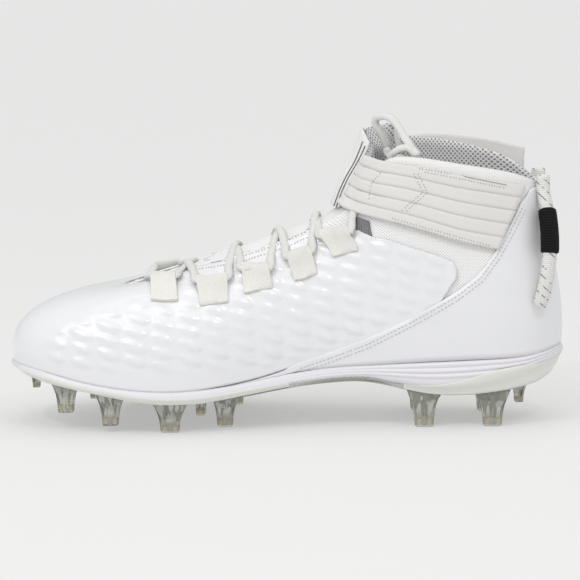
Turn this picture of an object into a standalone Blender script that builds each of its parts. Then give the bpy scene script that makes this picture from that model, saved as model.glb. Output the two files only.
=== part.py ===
"""American football cleat for the right foot, piece by piece, in metres with +Z up.

The toe points to -X and the inner side of the foot faces -Y. The studs stand on z = 0.
Every soft piece takes its place from one form, the last, which the tables below describe.
"""
import math

import bmesh
import bpy
from mathutils import Vector
from mathutils.bvhtree import BVHTree

# Driving dimensions of the last and the sole
LENGTH = 0.300            # toe to heel along the feather edge, where upper meets sole
BALL_WIDTH = 0.104        # across the ball of the foot at the feather edge
HEEL_WIDTH = 0.068        # across the heel at the feather edge
INSTEP_HEIGHT = 0.108     # floor to the edge of the throat at the instep
COLLAR_HEIGHT = 0.149     # floor to the collar on the inner side
STUD_LENGTH = 0.0148      # floor to the underside of the sole at the ball
ARCH_RISE = 0.0094        # how much higher the arch is than the ball
HEEL_THICK = 0.0215       # midsole and outsole together at the heel

# Walls, layers and clearances
WALL = 0.0022             # knitted upper
GAP = 0.0003              # between pieces that touch
LAYER_GAP = 0.0005        # under a layer on the curved upper
STUD_CLEAR = 0.0009       # between a stud and the curved underside
SKIN = 0.0010             # fused forefoot shell and heel panel
SEAM_GAP = 0.0008         # between the shell and the heel panel
MIDSOLE_RIM = 0.0026      # how far the midsole stands out from the upper
MIDSOLE_BULGE = 0.0012    # extra swell halfway down its side
RIB_DEPTH = 0.0013        # grooves along the heel side
SOLE_TUCK = 0.0040        # how far the bottom edge of the midsole turns in
PLATE_TUCK = 0.0050       # how far the outsole's bottom edge turns in
INSOLE_THICK = 0.0040
INSOLE_CLEAR = 0.0010     # sideways, to the inside of the upper
TONGUE_THICK = 0.0035
TONGUE_CLEAR = 0.0009     # below the inside of the upper
TONGUE_LAP = 0.012        # how far it lies under each side of the throat
TONGUE_ROWS = (1.20, 10.0)    # rows of the last where it starts and where the throat ends
TONGUE_LOOSE = (8.2, 9.2)     # between these rows it comes forward to the strap
TONGUE_TOP = 0.161        # floor to the top of the tongue
TONGUE_TAPER = 0.14       # how much narrower it is at its top
TONGUE_LEAN = -0.45        # how far it leans back for each step up above the throat
STRAP_THICK = 0.0020
STRAP_CLEAR = 0.0010
STRAP_GROOVE = 0.0009     # depth of the lines between its bands
BAND_COUNT = 5
LOOP_WIDTH = 0.0155       # webbing lace loops
LOOP_THICK = 0.0015
LOOP_LIFT = 0.0021        # from the upper to the webbing, over the shell
LOOP_CREST = 0.0023       # and where it folds over the lace
LACE_WIDTH = 0.0060
LACE_THICK = 0.0024
LACE_STEP = 0.0004        # one lace of a crossing above the other
LACE_LIFT = 0.0006        # middle of a lace above the line of the last
PULL_RADIUS = 0.0036      # cord of the heel pull loops
PULL_CLEAR = 0.0002
PULL_STAND = 0.0055       # how far the middle of a pull loop stands off the heel
SLEEVE_WALL = 0.0012
BOW_RADIUS = 0.0021       # lace where it is tied at the top

ROW_COUNT = 14            # steps from toe to heel along one side of the last
RING = 2 * ROW_COUNT
STEPS = 8                 # faces from the feather edge to the top edge
ROUND_ROWS = (3, 11)      # rows before and after these curve tightly, at the toe and the heel

# Front rows of the last, from the toe to the instep. Lengths along are shares of LENGTH,
# widths and fullness of BALL_WIDTH, heights of INSTEP_HEIGHT; low and fall are shares of
# the wall's own height.
# along, inner, outer, top_along, top_in, top_out, top_low, top_high,
# ridge_along, ridge_up, arch, belly, low, shoulder, fall
FORE_ROWS = (
    (0.000, 0.058, -0.058, 0.210, 0.010, -0.010, 0.690, 0.690, 0.210, 0.690, 1.00, 0.096, 0.63, 0.34, 0.01),
    (0.017, 0.250, 0.125, 0.217, 0.067, 0.058, 0.694, 0.694, 0.214, 0.704, 1.00, 0.090, 0.62, 0.33, 0.02),
    (0.067, 0.394, 0.298, 0.233, 0.115, 0.106, 0.708, 0.708, 0.234, 0.730, 1.00, 0.075, 0.58, 0.29, 0.03),
    (0.147, 0.466, 0.423, 0.273, 0.144, 0.135, 0.741, 0.741, 0.275, 0.776, 1.00, 0.060, 0.52, 0.25, 0.06),
    (0.240, 0.490, 0.490, 0.333, 0.159, 0.154, 0.796, 0.796, 0.335, 0.842, 1.00, 0.050, 0.47, 0.20, 0.10),
    (0.340, 0.462, 0.519, 0.407, 0.163, 0.163, 0.866, 0.866, 0.406, 0.916, 1.00, 0.050, 0.45, 0.18, 0.15),
    (0.440, 0.385, 0.490, 0.483, 0.163, 0.168, 0.935, 0.935, 0.478, 0.988, 0.95, 0.055, 0.42, 0.16, 0.22),
    (0.540, 0.317, 0.433, 0.547, 0.163, 0.173, 1.000, 1.000, 0.533, 1.040, 0.85, 0.060, 0.40, 0.14, 0.28),
)

# Rear rows, from the waist to the back of the heel: widths and fullness are shares of
# HEEL_WIDTH and heights of COLLAR_HEIGHT. Behind the collar's front the throat is open.
REAR_ROWS = (
    (0.633, 0.441, 0.588, 0.607, 0.280, 0.294, 0.799, 0.799, 0.595, 0.814, 0.70, 0.099, 0.38, 0.184, 0.33),
    (0.727, 0.463, 0.544, 0.648, 0.353, 0.368, 0.919, 0.926, 0.628, 0.932, 0.58, 0.107, 0.36, 0.138, 0.36),
    (0.807, 0.485, 0.515, 0.687, 0.441, 0.456, 1.000, 1.035, 0.653, 1.020, 0.50, 0.107, 0.35, 0.076, 0.38),
    (0.880, 0.463, 0.485, 0.800, 0.471, 0.485, 0.972, 1.020, 0.700, 1.000, 0.50, 0.084, 0.33, 0.046, 0.38),
    (0.943, 0.360, 0.368, 0.900, 0.353, 0.353, 0.935, 0.972, 0.800, 1.000, 0.50, 0.069, 0.32, 0.031, 0.36),
    (0.983, 0.176, 0.176, 0.950, 0.176, 0.176, 0.896, 0.906, 0.900, 1.000, 0.50, 0.061, 0.30, 0.015, 0.33),
    (1.000, 0.000, 0.000, 0.967, 0.000, 0.000, 0.879, 0.879, 0.960, 1.000, 0.50, 0.054, 0.30, 0.000, 0.33),
)

# Lines of the sole from toe to heel. along is a share of LENGTH, rise of ARCH_RISE above the
# ball, thick and plate of HEEL_THICK; rib is the share of RIB_DEPTH and inset the share of
# SOLE_TUCK by which the outsole's edge stays inside the midsole's.
# along, rise, thick, plate, rib, inset
SOLE_LINE = (
    (-0.010, 1.66, 0.22, 0.075, 0.0, 0.50),
    (0.053, 1.24, 0.32, 0.085, 0.0, 0.70),
    (0.160, 0.52, 0.31, 0.090, 0.0, 0.70),
    (0.267, 0.00, 0.38, 0.095, 0.0, 0.60),
    (0.350, 0.02, 0.42, 0.100, 0.0, 0.60),
    (0.440, 0.37, 0.44, 0.100, 0.0, 0.70),
    (0.503, 0.70, 0.45, 0.100, 0.1, 0.80),
    (0.577, 0.93, 0.47, 0.105, 0.3, 0.80),
    (0.650, 1.00, 0.48, 0.110, 0.6, 0.80),
    (0.710, 0.50, 0.77, 0.120, 0.8, 0.60),
    (0.767, 0.21, 0.95, 0.150, 1.0, 0.40),
    (0.853, 0.22, 1.00, 0.260, 1.0, 0.20),
    (0.917, 0.43, 0.93, 0.400, 1.0, 0.10),
    (0.957, 0.77, 0.84, 0.420, 0.9, 0.10),
    (1.010, 1.83, 0.52, 0.200, 0.7, 0.10),
)

# Heights of the two seams on the side, from the waist backwards: along is a share of LENGTH
# and up of COLLAR_HEIGHT.
PANEL_SEAM = (
    (0.400, 0.150), (0.440, 0.188), (0.503, 0.226), (0.570, 0.272), (0.639, 0.319), (0.710, 0.389),
    (0.798, 0.489), (0.843, 0.555), (0.872, 0.629), (0.920, 0.803), (0.935, 0.885), (1.020, 1.350),
)
SHELL_TOP = (
    (0.200, 0.730), (0.625, 0.730), (0.650, 0.700), (0.720, 0.660),
    (0.770, 0.625), (0.793, 0.590), (0.810, 0.540), (0.900, 0.300),
)
SHELL_EDGE = 0.965        # how far up the wall the shell reaches beside the throat
PANEL_EDGE = 0.955        # and the heel panel below the collar

# Studs: along in LENGTH, side in BALL_WIDTH (inner negative), length in STUD_LENGTH
# (0 stands on the floor), size in STUD_WIDE, and the turn of the blade in degrees.
STUD_WIDE = 0.0205
STUD_DEEP = 0.0150
STUDS = (
    ("toe", 0.037, -0.08, 0.52, 0.66, 90),
    ("front_inner", 0.097, -0.30, 0.92, 1.00, 30),
    ("front_outer", 0.140, 0.24, 0.90, 0.90, -30),
    ("fore_inner", 0.180, -0.40, 0.94, 0.98, 12),
    ("fore_outer", 0.215, 0.42, 0.94, 0.98, -12),
    ("ball_inner", 0.287, -0.40, 0.0, 1.15, 6),
    ("ball_outer", 0.310, 0.42, 0.0, 1.15, -6),
    ("ball_middle", 0.337, 0.08, 0.0, 0.85, 90),
    ("waist_inner", 0.385, -0.24, 0.0, 0.95, -12),
    ("waist_outer", 0.400, 0.40, 0.0, 0.95, -4),
    ("heel_front_inner", 0.748, -0.235, 0.0, 1.15, 8),
    ("heel_front_outer", 0.748, 0.245, 0.0, 1.15, -8),
    ("heel_back_inner", 0.873, -0.215, 0.0, 1.15, -16),
    ("heel_back_outer", 0.873, 0.220, 0.0, 1.15, 16),
    ("heel_middle", 0.927, 0.00, 0.62, 0.80, 90),
)
# Sections of a stud from its foot to its tip: down as a share of its length, then the share
# of its width and of its depth.
STUD_SECTIONS = ((0.0, 1.00, 1.00), (0.18, 0.92, 0.88), (0.24, 0.74, 0.66), (1.0, 0.48, 0.38))

# The strap round the ankle, from the heel panel on the inner side, across the front, to its
# free end on the outer side. Angles are seen from above at the ankle's axis, heights are
# shares of COLLAR_HEIGHT.
ANKLE_AXIS = 0.767        # share of LENGTH
# The lift off the upper is a share of STRAP_CLEAR: the free end lies over the heel panel.
# low_angle, low_up, high_angle, high_up, lift
STRAP_ROWS = (
    (-45, 0.655, -25, 0.888, 1.0),
    (-70, 0.682, -62, 0.926, 1.0),
    (-98, 0.722, -92, 0.950, 1.0),
    (-126, 0.758, -120, 0.972, 1.4),
    (-150, 0.782, -150, 0.990, 1.4),
    (-168, 0.802, -168, 0.990, 1.0),
    (-180, 0.812, -180, 0.992, 1.0),
    (-192, 0.814, -192, 0.996, 1.0),
    (-210, 0.812, -210, 1.008, 1.4),
    (-238, 0.806, -240, 1.034, 1.4),
    (-265, 0.796, -267, 1.048, 1.5),
    (-293, 0.782, -296, 1.042, 2.5),
    (-314, 0.772, -318, 1.022, 3.4),
    (-330, 0.764, -333, 1.002, 4.8),
)

# Lace loops on each side, front to back: foot of the webbing (along in LENGTH, up in
# INSTEP_HEIGHT) and the row of the last where it reaches the throat.
LACE_LOOPS = (
    (0.277, 0.655, 2.95),
    (0.363, 0.645, 4.15),
    (0.445, 0.706, 5.25),
    (0.525, 0.763, 6.40),
    (0.600, 0.880, 7.42),
)
LOOP_REACH = 0.190        # how far the webbing reaches over the throat, as a share of it
LACE_REACH = 0.225        # where a crossing ends, as a share of the throat
LACE_SPREAD = 0.17        # rows between the two laces in one loop
BAR_COUNT = 4

PULL_ROWS = (12.15, 13.05)    # rows of the last at the foot and the top of a pull loop
PULL_TOP = 0.985          # its ends, as shares of the wall
PULL_FOOT = 0.290
SLEEVE_FROM = 0.38        # sleeve, as shares of the loop from its foot
SLEEVE_TO = 0.84

# Route of the tied lace at the top of the tongue, in metres
BOW_ROUTE = (
    (0.0540, -0.0030, 0.1515), (0.0520, -0.0040, 0.1560), (0.0498, -0.0050, 0.1600),
    (0.0475, -0.0060, 0.1645), (0.0485, -0.0075, 0.1675), (0.0525, -0.0100, 0.1685),
    (0.0570, -0.0130, 0.1665), (0.0605, -0.0162, 0.1620), (0.0630, -0.0197, 0.1575),
    (0.0660, -0.0238, 0.1530), (0.0698, -0.0275, 0.1485),
)
TIE_ROUTE = (
    (0.0545, 0.0080, 0.1490), (0.0545, 0.0025, 0.1480), (0.0550, -0.0030, 0.1468),
    (0.0572, -0.0100, 0.1465), (0.0612, -0.0170, 0.1460), (0.0660, -0.0225, 0.1450),
    (0.0695, -0.0254, 0.1442),
)

WHITE_GLOSS = ("white_shell", (0.86, 0.86, 0.87), 0.16, 0.0)
WHITE_LEATHER = ("white_leather", (0.85, 0.85, 0.86), 0.34, 0.0)
WHITE_KNIT = ("white_knit", (0.82, 0.82, 0.83), 0.80, 0.0)
FOAM = ("midsole_foam", (0.80, 0.78, 0.82), 0.45, 0.0)
CLEAR_PLATE = ("clear_plate", (0.62, 0.63, 0.55), 0.12, 0.0)
STRAP_WEB = ("strap_web", (0.78, 0.76, 0.74), 0.60, 0.0)
LACE_WEB = ("lace_web", (0.86, 0.85, 0.80), 0.70, 0.0)
LINING = ("lining", (0.45, 0.45, 0.46), 0.85, 0.0)
BLACK_WEB = ("black_web", (0.02, 0.02, 0.022), 0.75, 0.0)


def clear_scene():
    for item in list(bpy.data.objects):
        bpy.data.objects.remove(item, do_unlink=True)


def material(finish):
    name, colour, roughness, metallic = finish
    found = bpy.data.materials.get(name)
    if found:
        return found
    made = bpy.data.materials.new(name)
    made.use_nodes = True
    shader = made.node_tree.nodes["Principled BSDF"]
    shader.inputs["Base Color"].default_value = (*colour, 1.0)
    shader.inputs["Roughness"].default_value = roughness
    shader.inputs["Metallic"].default_value = metallic
    return made


def finish_body(name, bm, finish, sharp=40):
    """Turn a closed bmesh into the named object, with rounded shading."""
    bmesh.ops.remove_doubles(bm, verts=bm.verts, dist=1e-6)
    bmesh.ops.dissolve_degenerate(bm, edges=bm.edges, dist=1e-7)
    bmesh.ops.recalc_face_normals(bm, faces=bm.faces)
    mesh = bpy.data.meshes.new(name)
    bm.to_mesh(mesh)
    bm.free()
    mesh.shade_smooth()
    mesh.set_sharp_from_angle(angle=math.radians(sharp))
    mesh.materials.append(material(finish))
    body = bpy.data.objects.new(name, mesh)
    bpy.context.scene.collection.objects.link(body)
    return body


def read(table, along, column):
    """One column of a table at a place along it, as a smooth curve."""
    last = len(table) - 1
    place = 0
    while place < last - 1 and along > table[place + 1][0]:
        place += 1

    def slope(i):
        a = max(i - 1, 0)
        b = min(i + 1, last)
        return (table[b][column] - table[a][column]) / (table[b][0] - table[a][0])

    x0, x1 = table[place][0], table[place + 1][0]
    y0, y1 = table[place][column], table[place + 1][column]
    t = min(max((along - x0) / (x1 - x0), 0.0), 1.0)
    span = x1 - x0
    keep = (1 + 2 * t) * (1 - t) ** 2 * y0 + t * t * (3 - 2 * t) * y1
    return keep + span * (t * (1 - t) ** 2 * slope(place) - t * t * (1 - t) * slope(place + 1))


def straight(table, along):
    """A two-column table read with straight lines."""
    for (x0, y0), (x1, y1) in zip(table, table[1:]):
        if along <= x1:
            return y0 + (y1 - y0) * max(along - x0, 0.0) / (x1 - x0)
    return table[-1][1]


def share(x):
    return x / LENGTH + 0.5


def place(along):
    return (along - 0.5) * LENGTH


def underside(x):
    """Height of the outsole's underside."""
    return STUD_LENGTH + ARCH_RISE * read(SOLE_LINE, share(x), 1)


def feather(x):
    """Height of the edge where the upper meets the midsole."""
    return underside(x) + HEEL_THICK * read(SOLE_LINE, share(x), 2)


def split(x):
    """Height of the joint between the midsole and the outsole."""
    return underside(x) + HEEL_THICK * read(SOLE_LINE, share(x), 3)


def side_station(row, side):
    """One station of the ring round the last: side is -1 for the inner side, 1 for the outer."""
    if row < len(FORE_ROWS):
        values = FORE_ROWS[row]
        width, height = BALL_WIDTH, INSTEP_HEIGHT
    else:
        values = REAR_ROWS[row - len(FORE_ROWS)]
        width, height = HEEL_WIDTH, COLLAR_HEIGHT
    along, inner, outer, top_along, top_in, top_out, low_up, high_up = values[:8]
    belly, low, shoulder, fall = values[11:]
    half = -inner if side < 0 else outer
    top_half = -top_in if side < 0 else top_out
    top_up = low_up if side < 0 else high_up
    return (place(along), half * width, place(top_along), top_half * width, top_up * height,
            belly * width, low, shoulder * width, fall)


STATIONS = [side_station(row, -1) for row in range(ROW_COUNT + 1)]
STATIONS += [side_station(RING - row, 1) for row in range(ROW_COUNT + 1, RING)]


def ridge_station(row):
    if row < len(FORE_ROWS):
        values = FORE_ROWS[row]
        height = INSTEP_HEIGHT
    else:
        values = REAR_ROWS[row - len(FORE_ROWS)]
        height = COLLAR_HEIGHT
    return (place(values[8]), values[9] * height, values[10])


RIDGES = [ridge_station(row) for row in range(ROW_COUNT + 1)]


def blend(rows, position, ring):
    """Smooth curve through rows of values, closed on itself or not."""
    base = math.floor(position)
    t = position - base

    def row(i):
        if ring:
            return rows[i % len(rows)]
        return rows[min(max(i, 0), len(rows) - 1)]

    a, b, c, d = row(base - 1), row(base), row(base + 1), row(base + 2)
    return [0.5 * (2 * q + (r - p) * t + (2 * p - 5 * q + 4 * r - s) * t * t
                   + (3 * q - p - 3 * r + s) * t ** 3) for p, q, r, s in zip(a, b, c, d)]


def plan_normal(r):
    """Outward direction of the feather edge, seen from above."""
    ahead = blend(STATIONS, r + 0.05, True)
    behind = blend(STATIONS, r - 0.05, True)
    along = Vector((ahead[0] - behind[0], ahead[1] - behind[1], 0.0))
    return Vector((along.y, -along.x, 0.0)).normalized()


def wall(r, v):
    """A point of the last's side: r runs round the ring, v from the feather edge to the top."""
    fx, fy, tx, ty, tz, belly, low, shoulder, fall = blend(STATIONS, r, True)
    foot = Vector((fx, fy, feather(fx)))
    top = Vector((tx, ty, tz))
    out = plan_normal(r)
    rise = Vector((0.0, 0.0, top.z - foot.z))
    lower = foot + out * belly + rise * low
    upper = top + out * shoulder - rise * fall
    w = 1.0 - v
    return foot * w ** 3 + lower * 3 * w * w * v + upper * 3 * w * v * v + top * v ** 3


def wall_normal(r, v):
    a = min(max(v, 0.01), 0.99)
    round_it = wall(r + 0.04, a) - wall(r - 0.04, a)
    up_it = wall(r, a + 0.01) - wall(r, a - 0.01)
    normal = round_it.cross(up_it)
    if v < 1e-6:
        normal.z = 0.0
    return normal.normalized()


def over(row, s):
    """The last across the open throat, from its inner edge (s = 0) to its outer edge (s = 1)."""
    inner, outer = wall(row, 1.0), wall(RING - row, 1.0)
    middle = (inner + outer) / 2
    x, z, arch = blend(RIDGES, row, False)
    crown = Vector((x, middle.y, z)) - middle
    t = -math.cos(math.pi * s)
    return middle + (outer - inner) / 2 * t + crown * max(1 - t * t, 0.0) ** arch


def over_normal(row, s):
    a = min(max(s, 0.03), 0.97)
    ahead = over(row + 0.04, a) - over(row - 0.04, a)
    across = over(row, a + 0.02) - over(row, a - 0.02)
    return ahead.cross(across).normalized()


def ring_places():
    """Places of the columns round the last: three to a row at toe and heel, two between."""
    side = []
    for row in range(ROW_COUNT):
        count = 2 if ROUND_ROWS[0] <= row < ROUND_ROWS[1] else 3
        side += [row + step / count for step in range(count)]
    return side + [ROW_COUNT] + [RING - r for r in reversed(side[1:])]


PLACES = ring_places()
COLUMNS = len(PLACES)
GRID = [[wall(r, step / STEPS) for step in range(STEPS + 1)] for r in PLACES]
NORMALS = [[wall_normal(r, step / STEPS) for step in range(STEPS + 1)] for r in PLACES]


def facet(column, v, offset):
    """A point on the upper's own faces, moved out by offset."""
    column %= COLUMNS
    k = min(int(v * STEPS), STEPS - 1)
    t = v * STEPS - k
    point = GRID[column][k].lerp(GRID[column][k + 1], t)
    normal = NORMALS[column][k].lerp(NORMALS[column][k + 1], t).normalized()
    return point + normal * offset


def sheet_body(name, outside, inside, finish, ring=False, sharp=40):
    """A closed body between two grids of points that lie over each other."""
    bm = bmesh.new()
    skins = []
    for grid in (outside, inside):
        skins.append([[bm.verts.new(point) for point in line] for line in grid])
    lines = len(outside)
    steps = len(outside[0])
    for i in range(lines if ring else lines - 1):
        j = (i + 1) % lines
        for k in range(steps - 1):
            for skin in skins:
                bm.faces.new((skin[i][k], skin[j][k], skin[j][k + 1], skin[i][k + 1]))
        for k in (0, steps - 1):
            bm.faces.new((skins[0][i][k], skins[0][j][k], skins[1][j][k], skins[1][i][k]))
    if not ring:
        for i in (0, lines - 1):
            for k in range(steps - 1):
                bm.faces.new((skins[0][i][k], skins[0][i][k + 1], skins[1][i][k + 1], skins[1][i][k]))
    return finish_body(name, bm, finish, sharp)


def slab_body(name, rings, finish, sharp=40):
    """A closed body of rings that all have the ring's columns, with a cap at each end."""
    bm = bmesh.new()
    loops = [[bm.verts.new(point) for point in ring] for ring in rings]
    count = len(rings[0])
    for upper, lower in zip(loops, loops[1:]):
        for i in range(count):
            j = (i + 1) % count
            bm.faces.new((upper[i], upper[j], lower[j], lower[i]))
    for cap in (loops[0], loops[-1]):
        for i in range(count // 2):
            corners = [cap[i], cap[i + 1], cap[-i - 1], cap[-i % count]]
            unique = list(dict.fromkeys(corners))
            bm.faces.new(unique)
    return finish_body(name, bm, finish, sharp)


def rod_body(name, sections, finish, sharp=60):
    """A closed body through sections with the same number of corners, open ends filled."""
    bm = bmesh.new()
    loops = [[bm.verts.new(point) for point in section] for section in sections]
    count = len(sections[0])
    for first, second in zip(loops, loops[1:]):
        for i in range(count):
            j = (i + 1) % count
            bm.faces.new((first[i], first[j], second[j], second[i]))
    bm.faces.new(loops[0])
    bm.faces.new(loops[-1])
    return finish_body(name, bm, finish, sharp)


def outline(r, out):
    """A point outside the feather edge, seen from above, with the height left at zero."""
    fx, fy = blend(STATIONS, r, True)[:2]
    return Vector((fx, fy, 0.0)) + plan_normal(r) * out


def sole_ring(out, height):
    """One closed ring round the sole: how far out it is, and its height at an x.

    The height is worked out from the x of the feather edge and from the point's own x.
    """
    ring = []
    for r in PLACES:
        x = outline(r, 0.0).x
        point = outline(r, out(x))
        point.z = height(x, point.x)
        ring.append(point)
    return ring


def make_upper():
    outside = GRID
    inside = [[facet(column, step / STEPS, -WALL) for step in range(STEPS + 1)] for column in range(COLUMNS)]
    return sheet_body("upper", outside, inside, WHITE_KNIT, ring=True)


def seam_share(column, table):
    """How far up a column of the upper a seam crosses it."""
    low, high = 0.0, 1.0

    def above(v):
        point = facet(column, v, 0.0)
        return point.z - COLLAR_HEIGHT * straight(table, share(point.x))

    if above(0.0) > 0.0:
        return 0.0
    if above(1.0) < 0.0:
        return 1.0
    for _ in range(30):
        middle = (low + high) / 2
        if above(middle) < 0.0:
            low = middle
        else:
            high = middle
    return low


def clamp_lines(columns, lows, highs, offset):
    """Columns of points on the upper's faces, each kept between a low and a high share."""
    grid = []
    for column, low, high in zip(columns, lows, highs):
        grid.append([facet(column, min(max(step / STEPS, low), high), offset) for step in range(STEPS + 1)])
    return grid


def overlay_body(name, columns, lows, highs, finish):
    """A layer over part of the upper, a gap away from it."""
    outside = clamp_lines(columns, lows, highs, LAYER_GAP + SKIN)
    inside = clamp_lines(columns, lows, highs, LAYER_GAP)
    return sheet_body(name, outside, inside, finish)


def make_overlays():
    """The heel panel and the forefoot shell, side by side along one seam."""
    half = COLUMNS // 2
    seams = [seam_share(column, PANEL_SEAM) for column in range(-half, half + 1)]
    panel_columns = []
    panel_highs = []
    for column in range(COLUMNS + 1):
        seam = seams[(column + half) % COLUMNS]
        beside = max(seams[(column + half + step) % COLUMNS] for step in (-1, 0, 1))
        if beside > 0.0:
            panel_columns.append(column)
            panel_highs.append(min(seam, PANEL_EDGE))
    overlay_body("heel_panel", panel_columns, [0.0] * len(panel_columns), panel_highs, WHITE_LEATHER)

    shell_columns = []
    lows = []
    highs = []
    for column in range(-half, half + 1):
        beside = max(seams[(column + half + step) % COLUMNS] for step in (-1, 0, 1))
        line = GRID[column % COLUMNS]
        length = sum((a - b).length for a, b in zip(line, line[1:]))
        low = seams[column + half] + SEAM_GAP / length if beside > 0.0 else 0.0
        high = min(seam_share(column, SHELL_TOP), SHELL_EDGE)
        if high - low > 0.03:
            shell_columns.append(column)
            lows.append(low)
            highs.append(high)
    overlay_body("forefoot_shell", shell_columns, lows, highs, WHITE_GLOSS)


def make_sole():
    def rib(x):
        return RIB_DEPTH * read(SOLE_LINE, share(x), 4)

    rings = []
    # down, swell, groove, tuck: shares of the side's height, of the bulge, rib and tuck
    for down, swell, groove, tuck in ((0.0, 0.0, 0.0, 0.0), (0.10, 0.4, 0.0, 0.0), (0.20, 0.5, 1.0, 0.0),
                                      (0.29, 0.8, 0.0, 0.0), (0.38, 0.8, 1.0, 0.0), (0.47, 1.0, 0.0, 0.0),
                                      (0.56, 1.0, 1.0, 0.0), (0.68, 0.8, 0.0, 0.1), (1.0, 0.0, 0.0, 0.7)):
        def out(x, swell=swell, groove=groove, tuck=tuck):
            return MIDSOLE_RIM + MIDSOLE_BULGE * swell - rib(x) * groove - SOLE_TUCK * tuck

        def height(edge_x, x, down=down):
            top = feather(edge_x) - GAP
            return top + (split(x) + GAP - top) * down

        rings.append(sole_ring(out, height))
    slab_body("midsole", rings, FOAM)

    def plate_out(x):
        return MIDSOLE_RIM - SOLE_TUCK * (0.4 + read(SOLE_LINE, share(x), 5))

    plate = [sole_ring(plate_out, lambda _, x: split(x)),
             sole_ring(lambda x: plate_out(x) - 0.1 * PLATE_TUCK, lambda _, x: (split(x) + underside(x)) / 2),
             sole_ring(lambda x: plate_out(x) - PLATE_TUCK, lambda _, x: underside(x))]
    slab_body("outsole_plate", plate, CLEAR_PLATE)

    inset = -WALL - INSOLE_CLEAR
    insole = [sole_ring(lambda _: inset, lambda x, _: feather(x) + INSOLE_THICK),
              sole_ring(lambda _: inset, lambda x, _: feather(x) + GAP)]
    slab_body("insole", insole, LINING)


def make_studs():
    for name, along, side, length, size, turn in STUDS:
        centre = Vector((place(along), side * BALL_WIDTH, 0.0))
        top = underside(centre.x) - STUD_CLEAR
        tip = top - length * STUD_LENGTH if length else 0.0
        sections = []
        for down, wide, deep in STUD_SECTIONS:
            section = []
            for corner in range(8):
                angle = math.radians(22.5 + 45 * corner)
                x = math.cos(angle) * STUD_WIDE / 2 * size * wide
                y = math.sin(angle) * STUD_DEEP / 2 * size * deep
                c, s = math.cos(math.radians(turn)), math.sin(math.radians(turn))
                point = centre + Vector((x * c - y * s, x * s + y * c, 0.0))
                start = underside(point.x) - STUD_CLEAR
                point.z = start + (tip - start) * down
                section.append(point)
            sections.append(section)
        rod_body("stud_" + name, sections, CLEAR_PLATE, sharp=30)


def make_tongue():
    front, back = TONGUE_ROWS
    rows = [front + step * (back - front) / 12 for step in range(13)]

    def line(row, depth):
        ankle = min(max((row - TONGUE_LOOSE[0]) / (TONGUE_LOOSE[1] - TONGUE_LOOSE[0]), 0.0), 1.0)
        offset = -WALL - TONGUE_CLEAR - depth
        length = sum((wall(row, (k + 1) / 8) - wall(row, k / 8)).length for k in range(8))
        start = 1.0 - TONGUE_LAP / length
        points = []
        for v in (start, (start + 1) / 2, 1.0):
            points.append(wall(row, v) + wall_normal(row, v) * offset)
        for s in (0.16, 0.34, 0.50, 0.66, 0.84):
            loose = (WALL + TONGUE_CLEAR - LAYER_GAP) * ankle * math.sin(math.pi * s)
            points.append(over(row, s) + over_normal(row, s) * (offset + loose))
        for v in (1.0, (start + 1) / 2, start):
            points.append(wall(RING - row, v) + wall_normal(RING - row, v) * offset)
        return points

    outside = [line(row, 0.0) for row in rows]
    inside = [line(row, TONGUE_THICK) for row in rows]
    middle = len(outside[0]) // 2
    rise = TONGUE_TOP - outside[-1][middle].z
    for grid in (outside, inside):
        last = grid[-1]
        for step in (0.5, 1.0):
            reach = Vector((TONGUE_LEAN, 0.0, 1.0)) * rise * step
            narrow = 1.0 - TONGUE_TAPER * step
            grid.append([Vector((point.x, point.y * narrow, point.z)) + reach for point in last])
    sheet_body("tongue", outside, inside, LINING)


def last_tree():
    """The closed form of the last, for what wraps round the ankle."""
    points = []
    faces = []

    def add(lines):
        start = len(points)
        steps = len(lines[0])
        for line in lines:
            points.extend(line)
        for i in range(len(lines) - 1):
            for k in range(steps - 1):
                a = start + i * steps + k
                faces.append((a, a + steps, a + steps + 1, a + 1))

    add([[wall(i / 4, k / 24) for k in range(25)] for i in range(4 * RING + 1)])
    add([[over(i / 4, k / 24) for k in range(25)] for i in range(4, 41)])
    return BVHTree.FromPolygons(points, faces)


def around_ankle(tree, angle, height):
    """Where the last is met at one angle and height from the ankle's axis."""
    turn = math.radians(angle)
    way = Vector((math.cos(turn), math.sin(turn), 0.0))
    level = height
    while level > 0.0:
        hit = tree.ray_cast(Vector((place(ANKLE_AXIS), 0.0, level)), way)[0]
        if hit:
            return Vector((hit.x, hit.y, height))
        level -= 0.001
    return None


def grid_normals(grid):
    normals = []
    last_i, last_k = len(grid) - 1, len(grid[0]) - 1
    for i, line in enumerate(grid):
        row = []
        for k in range(len(line)):
            along = grid[min(i + 1, last_i)][k] - grid[max(i - 1, 0)][k]
            up = line[min(k + 1, last_k)] - line[max(k - 1, 0)]
            row.append(along.cross(up).normalized() * -1)
        normals.append(row)
    return normals


def make_strap(tree):
    across = []
    for band in range(BAND_COUNT):
        start = band / BAND_COUNT
        across += [(start + 0.012, 1.0), (start + 1 / BAND_COUNT - 0.022, 1.0)]
        if band < BAND_COUNT - 1:
            across.append((start + 1 / BAND_COUNT - 0.005, 0.0))
    base = []
    lifts = []
    for i in range(2 * len(STRAP_ROWS) - 1):
        low_angle, low_up, high_angle, high_up, lift = blend(STRAP_ROWS, i / 2, False)
        lifts.append(lift * STRAP_CLEAR)
        line = []
        for q, _ in across:
            angle = low_angle + (high_angle - low_angle) * q
            height = COLLAR_HEIGHT * (low_up + (high_up - low_up) * q)
            line.append(around_ankle(tree, angle, height))
        base.append(line)
    normals = grid_normals(base)
    outside = []
    inside = []
    for line, way, lift in zip(base, normals, lifts):
        inside.append([point + n * lift for point, n in zip(line, way)])
        outside.append([point + n * (lift + STRAP_THICK - STRAP_GROOVE * (1 - band))
                        for point, n, (_, band) in zip(line, way, across)])
    sheet_body("strap", outside, inside, STRAP_WEB, sharp=50)


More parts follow.
